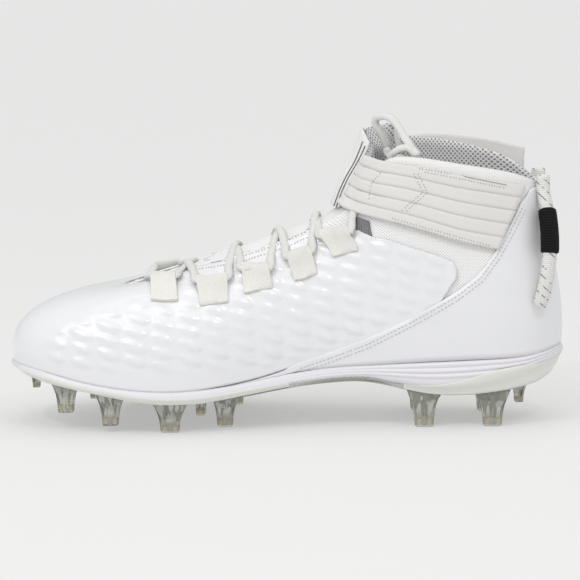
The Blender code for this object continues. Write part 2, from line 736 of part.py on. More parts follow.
def locate(x, z):
    """Ring place and share up the wall of the inner side at one place in side view."""
    best = None
    r0, v0, reach_r, reach_v = 6.0, 0.5, 5.0, 0.5
    for _ in range(14):
        for i in range(-5, 6):
            for k in range(-5, 6):
                r = r0 + reach_r * i / 5
                v = min(max(v0 + reach_v * k / 5, 0.0), 1.0)
                point = wall(r, v)
                miss = (point.x - x) ** 2 + (point.z - z) ** 2
                if best is None or miss < best[0]:
                    best = (miss, r, v)
        _, r0, v0 = best
        reach_r *= 0.6
        reach_v *= 0.6
    return r0, v0


def loop_line(row, height, side, lift):
    """Points across a lace loop: height runs up the wall to 1, and past it over the throat."""
    if height <= 1.0:
        def place_on(r):
            r = r if side < 0 else RING - r
            return wall(r, height), wall_normal(r, height)
    else:
        s = height - 1.0 if side < 0 else 2.0 - height

        def place_on(r):
            return over(r, s), over_normal(r, s)
    spread = (place_on(row + 0.2)[0] - place_on(row - 0.2)[0]).length / 0.4
    low = []
    high = []
    for k in (-1, 0, 1):
        point, normal = place_on(row + k * LOOP_WIDTH / 2 / spread)
        low.append(point + normal * lift)
        high.append(point + normal * (lift + LOOP_THICK))
    return low, high


def make_lace_loops():
    for number, (along, up, row) in enumerate(LACE_LOOPS, 1):
        row_foot, v_foot = locate(place(along), up * INSTEP_HEIGHT)
        for side_name, side in (("inner", -1), ("outer", 1)):
            inside = []
            outside = []
            for step in range(7):
                t = min(step / 4, 1.0)
                height = v_foot + (0.985 - v_foot) * t
                if step > 4:
                    height = 1.0 + LOOP_REACH * (step - 4) / 2
                lift = LOOP_LIFT + (LOOP_CREST - LOOP_LIFT) * max(t - 0.6, 0.0) / 0.4
                low, high = loop_line(row_foot + (row - row_foot) * t, height, side, lift)
                inside.append(low)
                outside.append(high)
            sheet_body(f"lace_loop_{side_name}_{number}", outside, inside, LACE_WEB)


def ribbon(points, normals, width, thick):
    """Sections of a flat lace with rounded edges along a line of points."""
    sections = []
    last = len(points) - 1
    for i, (point, normal) in enumerate(zip(points, normals)):
        along = (points[min(i + 1, last)] - points[max(i - 1, 0)]).normalized()
        across = along.cross(normal).normalized()
        up = across.cross(along).normalized()
        section = []
        for corner in range(6):
            angle = math.radians(60 * corner)
            section.append(point + across * math.cos(angle) * width / 2 + up * math.sin(angle) * thick / 2)
        sections.append(section)
    return sections


def lace_run(row_a, s_a, row_b, s_b, lift):
    points = []
    normals = []
    for step in range(6):
        t = step / 5
        row = row_a + (row_b - row_a) * t
        s = s_a + (s_b - s_a) * t
        normal = over_normal(row, s)
        points.append(over(row, s) + normal * lift)
        normals.append(normal)
    return ribbon(points, normals, LACE_WIDTH, LACE_THICK)


def join_body(first, second):
    """Keep two crossing bodies as one."""
    second.hide_render = True
    second.display_type = "WIRE"
    weld = first.modifiers.new("join", "BOOLEAN")
    weld.operation = "UNION"
    weld.solver = "EXACT"
    weld.object = second


def make_laces():
    rows = [row for _, _, row in LACE_LOOPS]
    start = rows[0] - LACE_SPREAD * 1.2
    rod_body("lace_bar_front", lace_run(start, LACE_REACH, start, 1 - LACE_REACH, LACE_LIFT), LACE_WEB)
    for number in range(1, BAR_COUNT + 1):
        row_a = rows[number - 1] + LACE_SPREAD
        row_b = rows[number] - LACE_SPREAD
        first = rod_body(f"lace_cross_{number}",
                         lace_run(row_a, LACE_REACH, row_b, 1 - LACE_REACH, LACE_LIFT), LACE_WEB)
        second = rod_body(f"lace_cutter_{number}",
                          lace_run(row_a, 1 - LACE_REACH, row_b, LACE_REACH, LACE_LIFT + LACE_STEP), LACE_WEB)
        join_body(first, second)
    row_a = rows[-1] + LACE_SPREAD
    row_b = rows[-1] + 2.2 * LACE_SPREAD
    first = rod_body("lace_cross_top", lace_run(row_a, LACE_REACH, row_b, 0.60, LACE_LIFT - LACE_STEP), LACE_WEB)
    second = rod_body("lace_cutter_top", lace_run(row_a, 1 - LACE_REACH, row_b, 0.40, LACE_LIFT), LACE_WEB)
    join_body(first, second)


def make_pull_loops():
    count = 13
    for side_name, side in (("inner", -1), ("outer", 1)):
        points = []
        normals = []
        for step in range(count):
            t = step / (count - 1)
            v = PULL_FOOT + (PULL_TOP - PULL_FOOT) * t
            r = PULL_ROWS[0] + (PULL_ROWS[1] - PULL_ROWS[0]) * t
            if side > 0:
                r = RING - r
            normal = wall_normal(r, v)
            stand = PULL_STAND * math.sin(math.pi * min(t / 0.94, 1.0)) ** 0.8
            lift = LAYER_GAP + SKIN + PULL_CLEAR + PULL_RADIUS * 0.65 + stand
            points.append(wall(r, v) + normal * lift)
            normals.append(normal)
        tip = points[-1] + Vector((0.0, 0.0, 0.0035))
        points.append(tip)
        normals.append(normals[-1])
        rod_body(f"pull_loop_{side_name}", ribbon(points, normals, 2 * PULL_RADIUS, 1.5 * PULL_RADIUS), LACE_WEB)
        first, last = round(SLEEVE_FROM * (count - 1)), round(SLEEVE_TO * (count - 1))
        outer = ribbon(points[first:last], normals[first:last],
                       2 * (PULL_RADIUS + GAP + SLEEVE_WALL), 1.5 * PULL_RADIUS + 2 * (GAP + SLEEVE_WALL))
        inner = ribbon(points[first:last], normals[first:last],
                       2 * (PULL_RADIUS + GAP), 1.5 * PULL_RADIUS + 2 * GAP)
        outside = [list(corner) for corner in zip(*outer)]
        inside = [list(corner) for corner in zip(*inner)]
        sheet_body(f"pull_sleeve_{side_name}", outside, inside, BLACK_WEB, ring=True)


def smooth_route(route, count):
    points = [Vector(point) for point in route]
    return [Vector(blend(points, i * (len(points) - 1) / count, False)) for i in range(count + 1)]


def make_tied_lace():
    for name, route in (("lace_bow", BOW_ROUTE), ("lace_tie", TIE_ROUTE)):
        curve = bpy.data.curves.new(name, "CURVE")
        curve.dimensions = "3D"
        curve.bevel_depth = BOW_RADIUS
        curve.bevel_resolution = 2
        curve.use_fill_caps = True
        spline = curve.splines.new("POLY")
        points = smooth_route(route, round(1.4 * (len(route) - 1)))
        spline.points.add(len(points) - 1)
        for slot, point in zip(spline.points, points):
            slot.co = (*point, 1.0)
        curve.materials.append(material(LACE_WEB))
        body = bpy.data.objects.new(name, curve)
        bpy.context.scene.collection.objects.link(body)


def centre_over_origin():
    """Move the whole cleat so that the origin is below the middle of its box."""
    corners = []
    for item in bpy.data.objects:
        if item.type == "MESH" and not item.hide_render:
            corners += [vertex.co for vertex in item.data.vertices]
    shift = Vector((0.0, 0.0, 0.0))
    for axis in (0, 1):
        values = [corner[axis] for corner in corners]
        shift[axis] = -(min(values) + max(values)) / 2
    for item in bpy.data.objects:
        item.location = shift


clear_scene()
make_upper()
make_overlays()
make_sole()
make_studs()
make_tongue()
make_strap(last_tree())
make_lace_loops()
make_laces()
make_pull_loops()
make_tied_lace()
centre_over_origin()
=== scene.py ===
"""Looks of a right-foot american football cleat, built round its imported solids.

Metres, +Z up, the toe to -X, the inner side of the foot to -Y, the studs on z = 0.
"""
import math

import bmesh
import bpy
from mathutils import Matrix, Vector, noise
from mathutils.bvhtree import BVHTree


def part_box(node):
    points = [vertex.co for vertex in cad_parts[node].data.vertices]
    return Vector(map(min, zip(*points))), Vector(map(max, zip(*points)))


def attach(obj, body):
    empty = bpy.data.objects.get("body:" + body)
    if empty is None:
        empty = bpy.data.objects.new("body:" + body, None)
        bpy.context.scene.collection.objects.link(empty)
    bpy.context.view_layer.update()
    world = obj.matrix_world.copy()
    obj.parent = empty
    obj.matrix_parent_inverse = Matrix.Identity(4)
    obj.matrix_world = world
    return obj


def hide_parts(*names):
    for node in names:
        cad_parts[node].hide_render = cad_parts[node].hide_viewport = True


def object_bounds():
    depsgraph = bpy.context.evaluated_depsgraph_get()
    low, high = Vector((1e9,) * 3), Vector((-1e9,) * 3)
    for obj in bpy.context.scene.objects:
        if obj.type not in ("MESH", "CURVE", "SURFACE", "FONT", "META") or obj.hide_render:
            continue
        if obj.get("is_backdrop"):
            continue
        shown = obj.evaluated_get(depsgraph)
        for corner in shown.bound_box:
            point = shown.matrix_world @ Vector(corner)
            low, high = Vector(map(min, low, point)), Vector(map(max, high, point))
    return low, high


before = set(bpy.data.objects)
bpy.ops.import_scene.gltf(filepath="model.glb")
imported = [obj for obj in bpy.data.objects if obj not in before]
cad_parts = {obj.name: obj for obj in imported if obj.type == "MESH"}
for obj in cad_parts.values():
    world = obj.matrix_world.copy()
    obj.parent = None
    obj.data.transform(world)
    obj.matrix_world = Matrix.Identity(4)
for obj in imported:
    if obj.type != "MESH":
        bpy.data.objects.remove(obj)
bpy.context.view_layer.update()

# Studio: a pale seamless floor, soft overhead light with one side a little stronger, and a long
# lens a little above the shoe. The shoe stands alone in the middle, seen from its inner side.
scene = bpy.context.scene
scene.view_settings.view_transform = "Standard"
scene.view_settings.look = "None"


def link(item):
    scene.collection.objects.link(item)
    return item


def surface_of(made):
    return made.node_tree.nodes["Principled BSDF"]


def new_material(name, colour, roughness, more=()):
    """A finish, with the other values of its surface as pairs of socket and value."""
    made = bpy.data.materials.new(name)
    made.use_nodes = True
    surface = surface_of(made)
    surface.inputs["Base Color"].default_value = (*colour, 1.0)
    surface.inputs["Roughness"].default_value = roughness
    for socket, value in more:
        surface.inputs[socket].default_value = value
    return made


def wire(made, source, socket):
    made.node_tree.links.new(source, socket)


def maths(made, operation, *values):
    """One math node, whose inputs are sockets or numbers."""
    step = made.node_tree.nodes.new("ShaderNodeMath")
    step.operation = operation
    for socket, value in zip(step.inputs, values):
        if isinstance(value, (int, float)):
            socket.default_value = value
        else:
            wire(made, value, socket)
    return step.outputs[0]


def places(made, kind="Object"):
    """The three coordinates of a point of the piece, or of its own UV map."""
    where = made.node_tree.nodes.new("ShaderNodeTexCoord")
    split = made.node_tree.nodes.new("ShaderNodeSeparateXYZ")
    wire(made, where.outputs[kind], split.inputs[0])
    return where.outputs[kind], split.outputs


def mottle(made, scale, detail=3.0):
    """Uneven noise from 0 to 1 at a scale of so many lumps in a metre."""
    grain = made.node_tree.nodes.new("ShaderNodeTexNoise")
    grain.inputs["Scale"].default_value = scale
    grain.inputs["Detail"].default_value = detail
    wire(made, places(made)[0], grain.inputs["Vector"])
    return grain.outputs["Fac"]


def emboss(made, height, depth, strength=1.0):
    """Add one more layer of relief, in metres, on top of what the material has."""
    relief = made.node_tree.nodes.new("ShaderNodeBump")
    relief.inputs["Distance"].default_value = depth
    relief.inputs["Strength"].default_value = strength
    wire(made, height, relief.inputs["Height"])
    target = surface_of(made).inputs["Normal"]
    if target.links:
        wire(made, target.links[0].from_socket, relief.inputs["Normal"])
    wire(made, relief.outputs["Normal"], target)


def stain(made, share, colour):
    """Mix a colour over the base colour, where share goes from 0 to 1."""
    mix = made.node_tree.nodes.new("ShaderNodeMix")
    mix.data_type = "RGBA"
    target = surface_of(made).inputs["Base Color"]
    if target.links:
        wire(made, target.links[0].from_socket, mix.inputs["A"])
    else:
        mix.inputs["A"].default_value = target.default_value
    mix.inputs["B"].default_value = (*colour, 1.0)
    wire(made, share, mix.inputs["Factor"])
    wire(made, mix.outputs["Result"], target)


def cloud(made, scale, most, colour):
    """Stain with soft clouds of a colour, which reach a share at most."""
    stain(made, maths(made, "MULTIPLY", mottle(made, scale), most), colour)


def waves(made, coordinate, pitch):
    """Ribs from -1 to 1 along a coordinate, so far apart in metres."""
    return maths(made, "SINE", maths(made, "MULTIPLY", coordinate, math.tau / pitch))


bm = bmesh.new()
bmesh.ops.create_grid(bm, x_segments=1, y_segments=1, size=30.0)
floor_data = bpy.data.meshes.new("studio_floor")
bm.to_mesh(floor_data)
bm.free()
studio_floor = link(bpy.data.objects.new("studio_floor", floor_data))
floor_paper = new_material("floor_paper", (0.45, 0.453, 0.445), 0.9,
                           (("Emission Color", (1.0, 1.0, 0.99, 1.0)), ("Emission Strength", 0.37)))
floor_data.materials.append(floor_paper)
studio_floor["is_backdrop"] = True

world = bpy.data.worlds.new("studio_light")
world.use_nodes = True
sky = world.node_tree.nodes["Background"]
sky.inputs["Color"].default_value = (0.99, 0.995, 1.0, 1.0)
sky.inputs["Strength"].default_value = 0.665
scene.world = world

# name, where it comes from, strength, how wide it looks in degrees
for name, way, strength, wide in (("light_key", (-0.45, -0.75, 1.0), 0.50, 45),
                                  ("light_top", (0.2, 0.0, 1.3), 0.30, 60)):
    lamp = bpy.data.lights.new(name, "SUN")
    lamp.energy = strength
    lamp.angle = math.radians(wide)
    stand = link(bpy.data.objects.new(name, lamp))
    stand.rotation_euler = (-Vector(way)).to_track_quat("-Z", "Y").to_euler()
# two small lamps put the bright glints on the glossy shell: name, place, power
SPARK_SIZE = 0.022
SPARK_AIM = Vector((0.0, 0.0, 0.06))
for name, place, power in (("spark_left", (-0.55, -0.75, 0.95), 2.0),
                           ("spark_right", (0.35, -0.80, 1.05), 1.6)):
    lamp = bpy.data.lights.new(name, "AREA")
    lamp.energy = power
    lamp.size = SPARK_SIZE
    stand = link(bpy.data.objects.new(name, lamp))
    stand.location = place
    stand.rotation_euler = (SPARK_AIM - Vector(place)).to_track_quat("-Z", "Y").to_euler()

CAMERA_AIM = Vector((0.001, -0.0015, 0.0715))
CAMERA_AWAY = 1.45
CAMERA_RISE = math.radians(8)
VIEW_WIDE = 0.3207        # width of the picture at the shoe
SENSOR_WIDE = 36.0
camera_data = bpy.data.cameras.new("camera")
camera_data.sensor_width = SENSOR_WIDE
camera_data.lens = SENSOR_WIDE * CAMERA_AWAY / VIEW_WIDE
camera = link(bpy.data.objects.new("camera", camera_data))
camera.location = CAMERA_AIM + CAMERA_AWAY * Vector((0.0, -math.cos(CAMERA_RISE), math.sin(CAMERA_RISE)))
camera.rotation_euler = (math.pi / 2 - CAMERA_RISE, 0.0, 0.0)
scene.camera = camera

# Tied end of the laces: one flat tubular polyester lace, woven and matt. It comes up over the
# tongue from under the strap, stands in a loop and is held by a small turn at the strap's edge.
LACE_WIDE = 0.0046
LACE_DEEP = 0.0027
LACE_SIDES = 12


def sweep(name, points, ups, wide=LACE_WIDE, deep=LACE_DEEP, sides=LACE_SIDES):
    """A cord of oval section along points, with its flat side facing each point's up direction."""
    bm = bmesh.new()
    uv = bm.loops.layers.uv.new("UVMap")
    last = len(points) - 1
    rings = []
    for i, (point, up) in enumerate(zip(points, ups)):
        along = (points[min(i + 1, last)] - points[max(i - 1, 0)]).normalized()
        across = along.cross(up).normalized()
        turn = Matrix((across * wide / 2, across.cross(along) * deep / 2, along)).transposed().to_4x4()
        turn.translation = point
        rings.append(bmesh.ops.create_circle(bm, segments=sides, radius=1.0, matrix=turn)["verts"])
    travel = 0.0
    for i in range(last):
        step = (points[i + 1] - points[i]).length
        for k in range(sides):
            j = (k + 1) % sides
            face = bm.faces.new((rings[i][k], rings[i][j], rings[i + 1][j], rings[i + 1][k]))
            spans = ((travel, k), (travel, k + 1), (travel + step, k + 1), (travel + step, k))
            for corner, (u, v) in zip(face.loops, spans):
                corner[uv].uv = (u, v / sides)
        travel += step
    for ring in (rings[0], rings[-1]):
        bm.faces.new(ring)
    bmesh.ops.recalc_face_normals(bm, faces=bm.faces)
    data = bpy.data.meshes.new(name)
    bm.to_mesh(data)
    bm.free()
    data.shade_smooth()
    return link(bpy.data.objects.new(name, data))


def smooth_line(route, count):
    """Points on a smooth curve through the route's points."""
    points = [Vector(point) for point in route]
    line = []
    for step in range(count + 1):
        reach = step * (len(points) - 1) / count
        i = min(int(reach), len(points) - 2)
        t = reach - i
        a, b = points[max(i - 1, 0)], points[i]
        c, d = points[i + 1], points[min(i + 2, len(points) - 1)]
        line.append(0.5 * (2 * b + (c - a) * t + (2 * a - 5 * b + 4 * c - d) * t * t
                           + (3 * b - a - 3 * c + d) * t ** 3))
    return line


def finish_piece(piece, slot, *nodes):
    """Every piece of the shoe rides on its one body, and the CAD nodes it replaces are hidden. The slot is
    not used.
    """
    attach(piece, "root")
    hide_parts(*nodes)
    return piece


BRAID_TURNS = 10.0        # threads round the lace
BRAID_RUN = 800.0         # threads in a metre along it
lace_weave = new_material("lace_weave", (0.90, 0.895, 0.865), 0.78, (("Sheen Weight", 0.2),))
along, around = places(lace_weave, "UV")[1][:2]
slants = []
for turns in (BRAID_TURNS, -BRAID_TURNS):
    slant = maths(lace_weave, "MULTIPLY_ADD", around, turns, maths(lace_weave, "MULTIPLY", along, BRAID_RUN))
    slants.append(waves(lace_weave, slant, 1.0))
braid = maths(lace_weave, "MULTIPLY", *slants)
emboss(lace_weave, braid, 0.00022, 0.8)
# painted shade: the braid's hollows are darkened towards a grey brown
hollow_shade = maths(lace_weave, "MAXIMUM", maths(lace_weave, "MULTIPLY", braid, -1.0), 0.0)
stain(lace_weave, maths(lace_weave, "MULTIPLY", hollow_shade, 0.30), (0.60, 0.59, 0.55))

BOW_ROUTE = (
    (0.0540, -0.0030, 0.1515), (0.0520, -0.0040, 0.1560), (0.0498, -0.0050, 0.1600),
    (0.0475, -0.0060, 0.1645), (0.0485, -0.0075, 0.1675), (0.0525, -0.0100, 0.1685),
    (0.0570, -0.0130, 0.1665), (0.0605, -0.0162, 0.1620), (0.0630, -0.0197, 0.1575),
    (0.0660, -0.0238, 0.1530), (0.0698, -0.0275, 0.1485),
)
TIE_ROUTE = (
    (0.0545, 0.0080, 0.1490), (0.0545, 0.0025, 0.1480), (0.0550, -0.0030, 0.1468),
    (0.0572, -0.0100, 0.1465), (0.0612, -0.0170, 0.1460), (0.0660, -0.0225, 0.1450),
    (0.0695, -0.0254, 0.1442),
)
CENTRED = Vector((0.0, -0.001508, 0.0))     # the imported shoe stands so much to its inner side
bow_line = [point + CENTRED for point in smooth_line(BOW_ROUTE, 40)]
tie_line = [point + CENTRED for point in smooth_line(TIE_ROUTE, 24)]
lace_bow = sweep("tied_lace_loop", bow_line, [Vector((0.3, -0.9, 0.35))] * len(bow_line))
lace_tie = sweep("tied_lace_end", tie_line, [Vector((0.15, -0.90, 0.40))] * len(tie_line))
KNOT_ROUTE = ((0.0545, -0.0225, 0.1462), (0.0570, -0.0245, 0.1495), (0.0605, -0.0260, 0.1520),
              (0.0642, -0.0268, 0.1524), (0.0672, -0.0274, 0.1502), (0.0690, -0.0280, 0.1470))
knot_line = smooth_line(KNOT_ROUTE, 20)
knot_ups = [Vector((0.0, -0.85, 0.5))] * len(knot_line)
lace_knot = sweep("tied_lace_knot", knot_line, knot_ups, LACE_WIDE * 0.9)
for piece, nodes in ((lace_knot, ()), (lace_bow, ("lace_bow",)), (lace_tie, ("lace_tie",))):
    piece.data.materials.append(lace_weave)
    finish_piece(piece, "lace_web", *nodes)

# Bootie: one knitted sock of white polyester with a grey spacer mesh lining, open at the throat
# and the collar. Its rim is bound with a soft grey tape.
ANKLE_X = 0.0801          # axis of the ankle
WRAP_RADIUS = 0.038       # of the ankle, where a knit is measured round it
RIM_LEVEL = 0.1255        # the collar's tape lies above this
THROAT_X = 0.040          # in front of it a face looks in towards the foot's middle
FOOT_LEVEL = 0.045


def node_copy(node):
    """A merged copy of a CAD node, with its triangles joined to four-sided faces."""
    bm = bmesh.new()
    bm.from_mesh(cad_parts[node].data)
    for layer in list(bm.loops.layers.uv.values()):
        bm.loops.layers.uv.remove(layer)
    bmesh.ops.remove_doubles(bm, verts=bm.verts, dist=2e-5)
    bmesh.ops.dissolve_degenerate(bm, edges=bm.edges, dist=1e-6)
    bmesh.ops.join_triangles(bm, faces=bm.faces, angle_face_threshold=0.9, angle_shape_threshold=1.2)
    return bm


def crisp(bm, above, crease):
    """Keep the edges sharp where two faces meet at more than an angle."""
    layer = bm.edges.layers.float.get("crease_edge") or bm.edges.layers.float.new("crease_edge")
    for edge in bm.edges:
        if len(edge.link_faces) == 2 and edge.calc_face_angle() > above:
            edge[layer] = crease


def body_from(name, bm, *finishes):
    data = bpy.data.meshes.new(name)
    bm.to_mesh(data)
    bm.free()
    data.shade_smooth()
    for finish in finishes:
        data.materials.append(finish)
    return link(bpy.data.objects.new(name, data))


def settle(piece):
    """Make what the modifiers show the piece's own mesh."""
    shown = piece.evaluated_get(bpy.context.evaluated_depsgraph_get())
    made = bpy.data.meshes.new_from_object(shown)
    made.name = piece.name
    piece.modifiers.clear()
    piece.data = made
    return piece


def rounded(piece, levels):
    """Smooth a piece by subdivision, round the edges that are not creased."""
    soft = piece.modifiers.new("round", "SUBSURF")
    soft.levels = levels
    soft.render_levels = levels
    return settle(piece)


def dressed(node, name, above, crease, levels, *finishes):
    """A smoothed copy of a CAD node, whose sharp edges keep a crease."""
    bm = node_copy(node)
    crisp(bm, above, crease)
    return rounded(body_from(name, bm, *finishes), levels)


def walled(piece, thick, offset):
    """Give a sheet its thickness: offset -1 grows it inwards, 1 outwards."""
    wall = piece.modifiers.new("wall", "SOLIDIFY")
    wall.thickness = thick
    wall.offset = offset
    return wall


def tree_of(*meshes):
    """One search tree of several meshes, to lay things on them."""
    points = []
    faces = []
    for mesh in meshes:
        start = len(points)
        points += [corner.co.copy() for corner in mesh.vertices]
        faces += [[start + i for i in face.vertices] for face in mesh.polygons]
    return BVHTree.FromPolygons(points, faces)


def wrap_map(piece):
    """A UV map in metres round the ankle and up, so that a knit follows the piece."""
    layer = piece.data.uv_layers.new(name="UVMap")
    for face in piece.data.polygons:
        turns = []
        for i in face.loop_indices:
            point = piece.data.vertices[piece.data.loops[i].vertex_index].co
            turns.append(math.atan2(point.y, point.x - ANKLE_X))
        for i, turn in zip(face.loop_indices, turns):
            if turn - turns[0] > math.pi:
                turn -= math.tau
            if turns[0] - turn > math.pi:
                turn += math.tau
            point = piece.data.vertices[piece.data.loops[i].vertex_index].co
            layer.data[i].uv = (turn * WRAP_RADIUS, point.z)


def faces_in(point, normal):
    """True where a face of the bootie or the tongue looks towards the foot."""
    axis = Vector((ANKLE_X, 0.0, point.z))
    if point.x < THROAT_X:
        axis = Vector((point.x, 0.0, FOOT_LEVEL))
    return normal.dot(axis - point) > 0.0


def knit_finish(name, colour, gap_shade_colour, pitch, roundness):
    """A knit of small staggered stitches, with painted shade in the gaps between them, where the holes look
    into what is behind.
    """
    made = new_material(name, colour, 0.85, (("Sheen Weight", 0.15),))
    u, v = places(made, "UV")[1][:2]
    columns = maths(made, "MULTIPLY", u, 1.0 / pitch)
    rows = maths(made, "MULTIPLY", v, 1.0 / pitch)
    first = maths(made, "PINGPONG", maths(made, "ADD", columns, rows), 0.5)
    second = maths(made, "PINGPONG", maths(made, "SUBTRACT", columns, rows), 0.5)
    hole = maths(made, "MULTIPLY", maths(made, "MULTIPLY", first, second), 4.0)
    steep = maths(made, "MULTIPLY", maths(made, "SUBTRACT", hole, 1.0 - roundness), 5.0)
    share = maths(made, "MAXIMUM", maths(made, "SMOOTH_MIN", steep, 1.0, 0.2), 0.0)
    # painted shade: the gaps between the stitches are darkened towards the gap shade colour
    stain(made, share, gap_shade_colour)
    emboss(made, maths(made, "SUBTRACT", 1.0, share), pitch * 0.18, 0.7)
    return made


# the second colour of each knit is the painted shade in its gaps
white_knit = knit_finish("white_knit", (0.90, 0.90, 0.89), (0.55, 0.58, 0.56), 0.00150, 0.54)
spacer_mesh = knit_finish("spacer_mesh", (0.80, 0.80, 0.80), (0.27, 0.27, 0.275), 0.0027, 0.74)
rim_tape = new_material("rim_tape", (0.56, 0.56, 0.58), 0.8)
emboss(rim_tape, mottle(rim_tape, 1800.0), 0.0002)

bootie = dressed("upper", "bootie", 1.0, 0.55, 2, white_knit, spacer_mesh, rim_tape)
wrap_map(bootie)
for face in bootie.data.polygons:
    if faces_in(face.center, face.normal):
        face.material_index = 1
    elif face.center.z > RIM_LEVEL and face.normal.z > 0.55:
        face.material_index = 2
finish_piece(bootie, "white_knit", "upper")
cad_upper = tree_of(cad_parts["upper"].data)

# Forefoot shell: a film of clear-coated white polyurethane, fused over the knit from the toe to
# the midfoot and moulded with rows of long low scales. Its edges are cut clean.
SHELL_THICK = 0.0010
SKIN_LEAST = 0.0010       # an outer skin lies more than this off the knit
SCALE_RUN = 0.0146        # from one column of scales to the next, along the shoe
SCALE_UP = 0.0044         # how far the next column stands higher
SCALE_STEP = 0.0080       # from one scale down to the one below it
SCALE_START = (-0.0672, 0.0505)
SCALE_LEAN = (math.cos(math.radians(24)), math.sin(math.radians(24)))
SCALE_LONG = 0.0092       # half a scale's length
SCALE_WIDE = 0.0040       # half its width
SCALE_HEIGHT = 0.00105
CORNER_RISE = 0.0105      # how far the upper back corner is drawn up
# x and height along the seam under the shell's lower back edge
SEAM_RISE = ((-0.0141, 0.0291), (0.0010, 0.0339), (0.0211, 0.0405), (0.0416, 0.0481), (0.0626, 0.0591),
             (0.0765, 0.0670), (0.0888, 0.0745), (0.1020, 0.0843))


def outer_skin(node):
    """The outer skin of a CAD layer over the knit."""
    bm = node_copy(node)
    hidden = [face for face in bm.faces
              if min(cad_upper.find_nearest(corner.co)[3] for corner in face.verts) < SKIN_LEAST]
    bmesh.ops.delete(bm, geom=hidden, context="FACES")
    return bm


def step_between(low, high, value):
    """A smooth step from 0 to 1, as a value goes from low to high."""
    t = min(max((value - low) / (high - low), 0.0), 1.0)
    return t * t * (3 - 2 * t)


def on_table(table, x):
    """A value read off a table of x and value, which runs up in x."""
    for (x0, z0), (x1, z1) in zip(table, table[1:]):
        if x <= x1:
            return z0 + (z1 - z0) * max(x - x0, 0.0) / (x1 - x0)
    return table[-1][1]


def scale_lift(point):
    """Height of the scales at a point of the shell: leaves that slant down to the heel.

    They fade out at the toe, the sole's line, the top and the leather's seam.
    """
    x, z = point.x, point.z
    side = abs(point.y)
    toe = step_between(-0.136, -0.120, x)
    bare = step_between(0.0, 0.007, 0.0560 + (x + 0.130) * 0.40 - z) if x < -0.060 else 1.0
    low = 1.30 - 0.30 * step_between(0.036, 0.056, z - max(x, 0.0) * 0.35)
    foot = step_between(0.0, 0.008, z - 0.032 - 0.05 * max(-x - 0.09, 0.0))
    top = step_between(0.018, 0.027, side)
    seam = 1.0
    if x > SEAM_RISE[0][0]:
        seam = step_between(0.0015, 0.0070, (z - on_table(SEAM_RISE, x)) * 0.85)
    share = toe * bare * low * foot * top * seam
    if share < 0.01:
        return 0.0
    sway = noise.noise(point * 38.0)
    run = (x - SCALE_START[0]) / SCALE_RUN + 0.14 * sway
    up = z + 0.25 * (0.045 - side) - SCALE_START[1]
    best = 0.0
    for column in (round(run) - 1, round(run), round(run) + 1):
        level = (up - column * SCALE_UP) / SCALE_STEP
        for place in (round(level) - 1, round(level), round(level) + 1):
            ahead = (run - column) * SCALE_RUN
            over = up - column * SCALE_UP - place * SCALE_STEP
            size = 0.86 + 0.22 * noise.noise(Vector((column * 1.7, place * 2.3, 0.5)))
            along = (ahead * SCALE_LEAN[0] - over * SCALE_LEAN[1]) / (SCALE_LONG * size)
            across = (ahead * SCALE_LEAN[1] + over * SCALE_LEAN[0]) / (SCALE_WIDE * size)
            leaf = 1.0 - along * along - abs(across)
            if leaf > 0.0:
                best = max(best, step_between(0.0, 0.75, leaf) * size)
    return SCALE_HEIGHT * share * best


def raise_corner(corner):
    """Draw the shell's upper back corner up over the knit, more towards the heel."""
    x, z = corner.x, corner.z
    seam = on_table(SEAM_RISE, x)
    top = 0.1069 - 0.568 * (x - 0.0453)
    share = min(max((z - seam) / max(top - seam, 0.001), 0.0), 1.0)
    rise = CORNER_RISE * min(max((x - 0.047) / 0.0396, 0.0), 1.1) * share
    if rise == 0.0:
        return
    near, normal, _, _ = cad_upper.find_nearest(corner)
    stand = (corner - near).dot(normal)
    near, normal, _, _ = cad_upper.find_nearest(corner + Vector((0.0, 0.0, rise)))
    corner.x, corner.y, corner.z = near + normal * stand


def cover(name, node, levels, lift, finish, trim=()):
    """A layer as its smoothed outer skin, trimmed, moulded by lift and thickened inwards."""
    piece = rounded(body_from(name, outer_skin(node), finish), levels)
    bm = bmesh.new()
    bm.from_mesh(piece.data)
    if trim:
        for place in bm.verts:
            raise_corner(place.co)
    for (x0, z0), (x1, z1) in zip(trim, trim[1:]):
        bmesh.ops.bisect_plane(bm, geom=bm.verts[:] + bm.edges[:] + bm.faces[:], dist=1e-6,
                               plane_co=(x0, 0.0, z0), plane_no=(z0 - z1, 0.0, x1 - x0), clear_outer=True)
    bm.normal_update()
    moves = [corner.normal * lift(corner.co) for corner in bm.verts]
    for corner, move in zip(bm.verts, moves):
        corner.co += move
    bm.to_mesh(piece.data)
    bm.free()
    walled(piece, SHELL_THICK, -1.0)
    return settle(piece)


gloss_film = new_material("gloss_film", (0.835, 0.835, 0.85), 0.26,
                          (("Coat Weight", 1.0), ("Coat Roughness", 0.09), ("Subsurface Weight", 0.08),
                           ("Subsurface Radius", (0.004, 0.004, 0.004))))
emboss(gloss_film, mottle(gloss_film, 260.0, 2.0), 0.00012, 0.6)
cloud(gloss_film, 45.0, 0.10, (0.72, 0.73, 0.76))
# x and height along the cut round the shell's upper back corner, from the top edge down
SHELL_CORNER = ((0.0656, 0.0998), (0.0835, 0.0943), (0.0880, 0.0917), (0.0904, 0.0885), (0.0908, 0.0850),
                (0.0893, 0.0815), (0.0850, 0.0747))
shell = cover("forefoot_film", "forefoot_shell", 3, scale_lift, gloss_film, SHELL_CORNER)
finish_piece(shell, "white_shell", "forefoot_shell")

# Heel panel: smooth synthetic leather, cut in one piece round the heel and lasted over the knit.
# Two rows of thread hold its slanting front edge down over the shell.
STITCH_WIDE = 0.00050
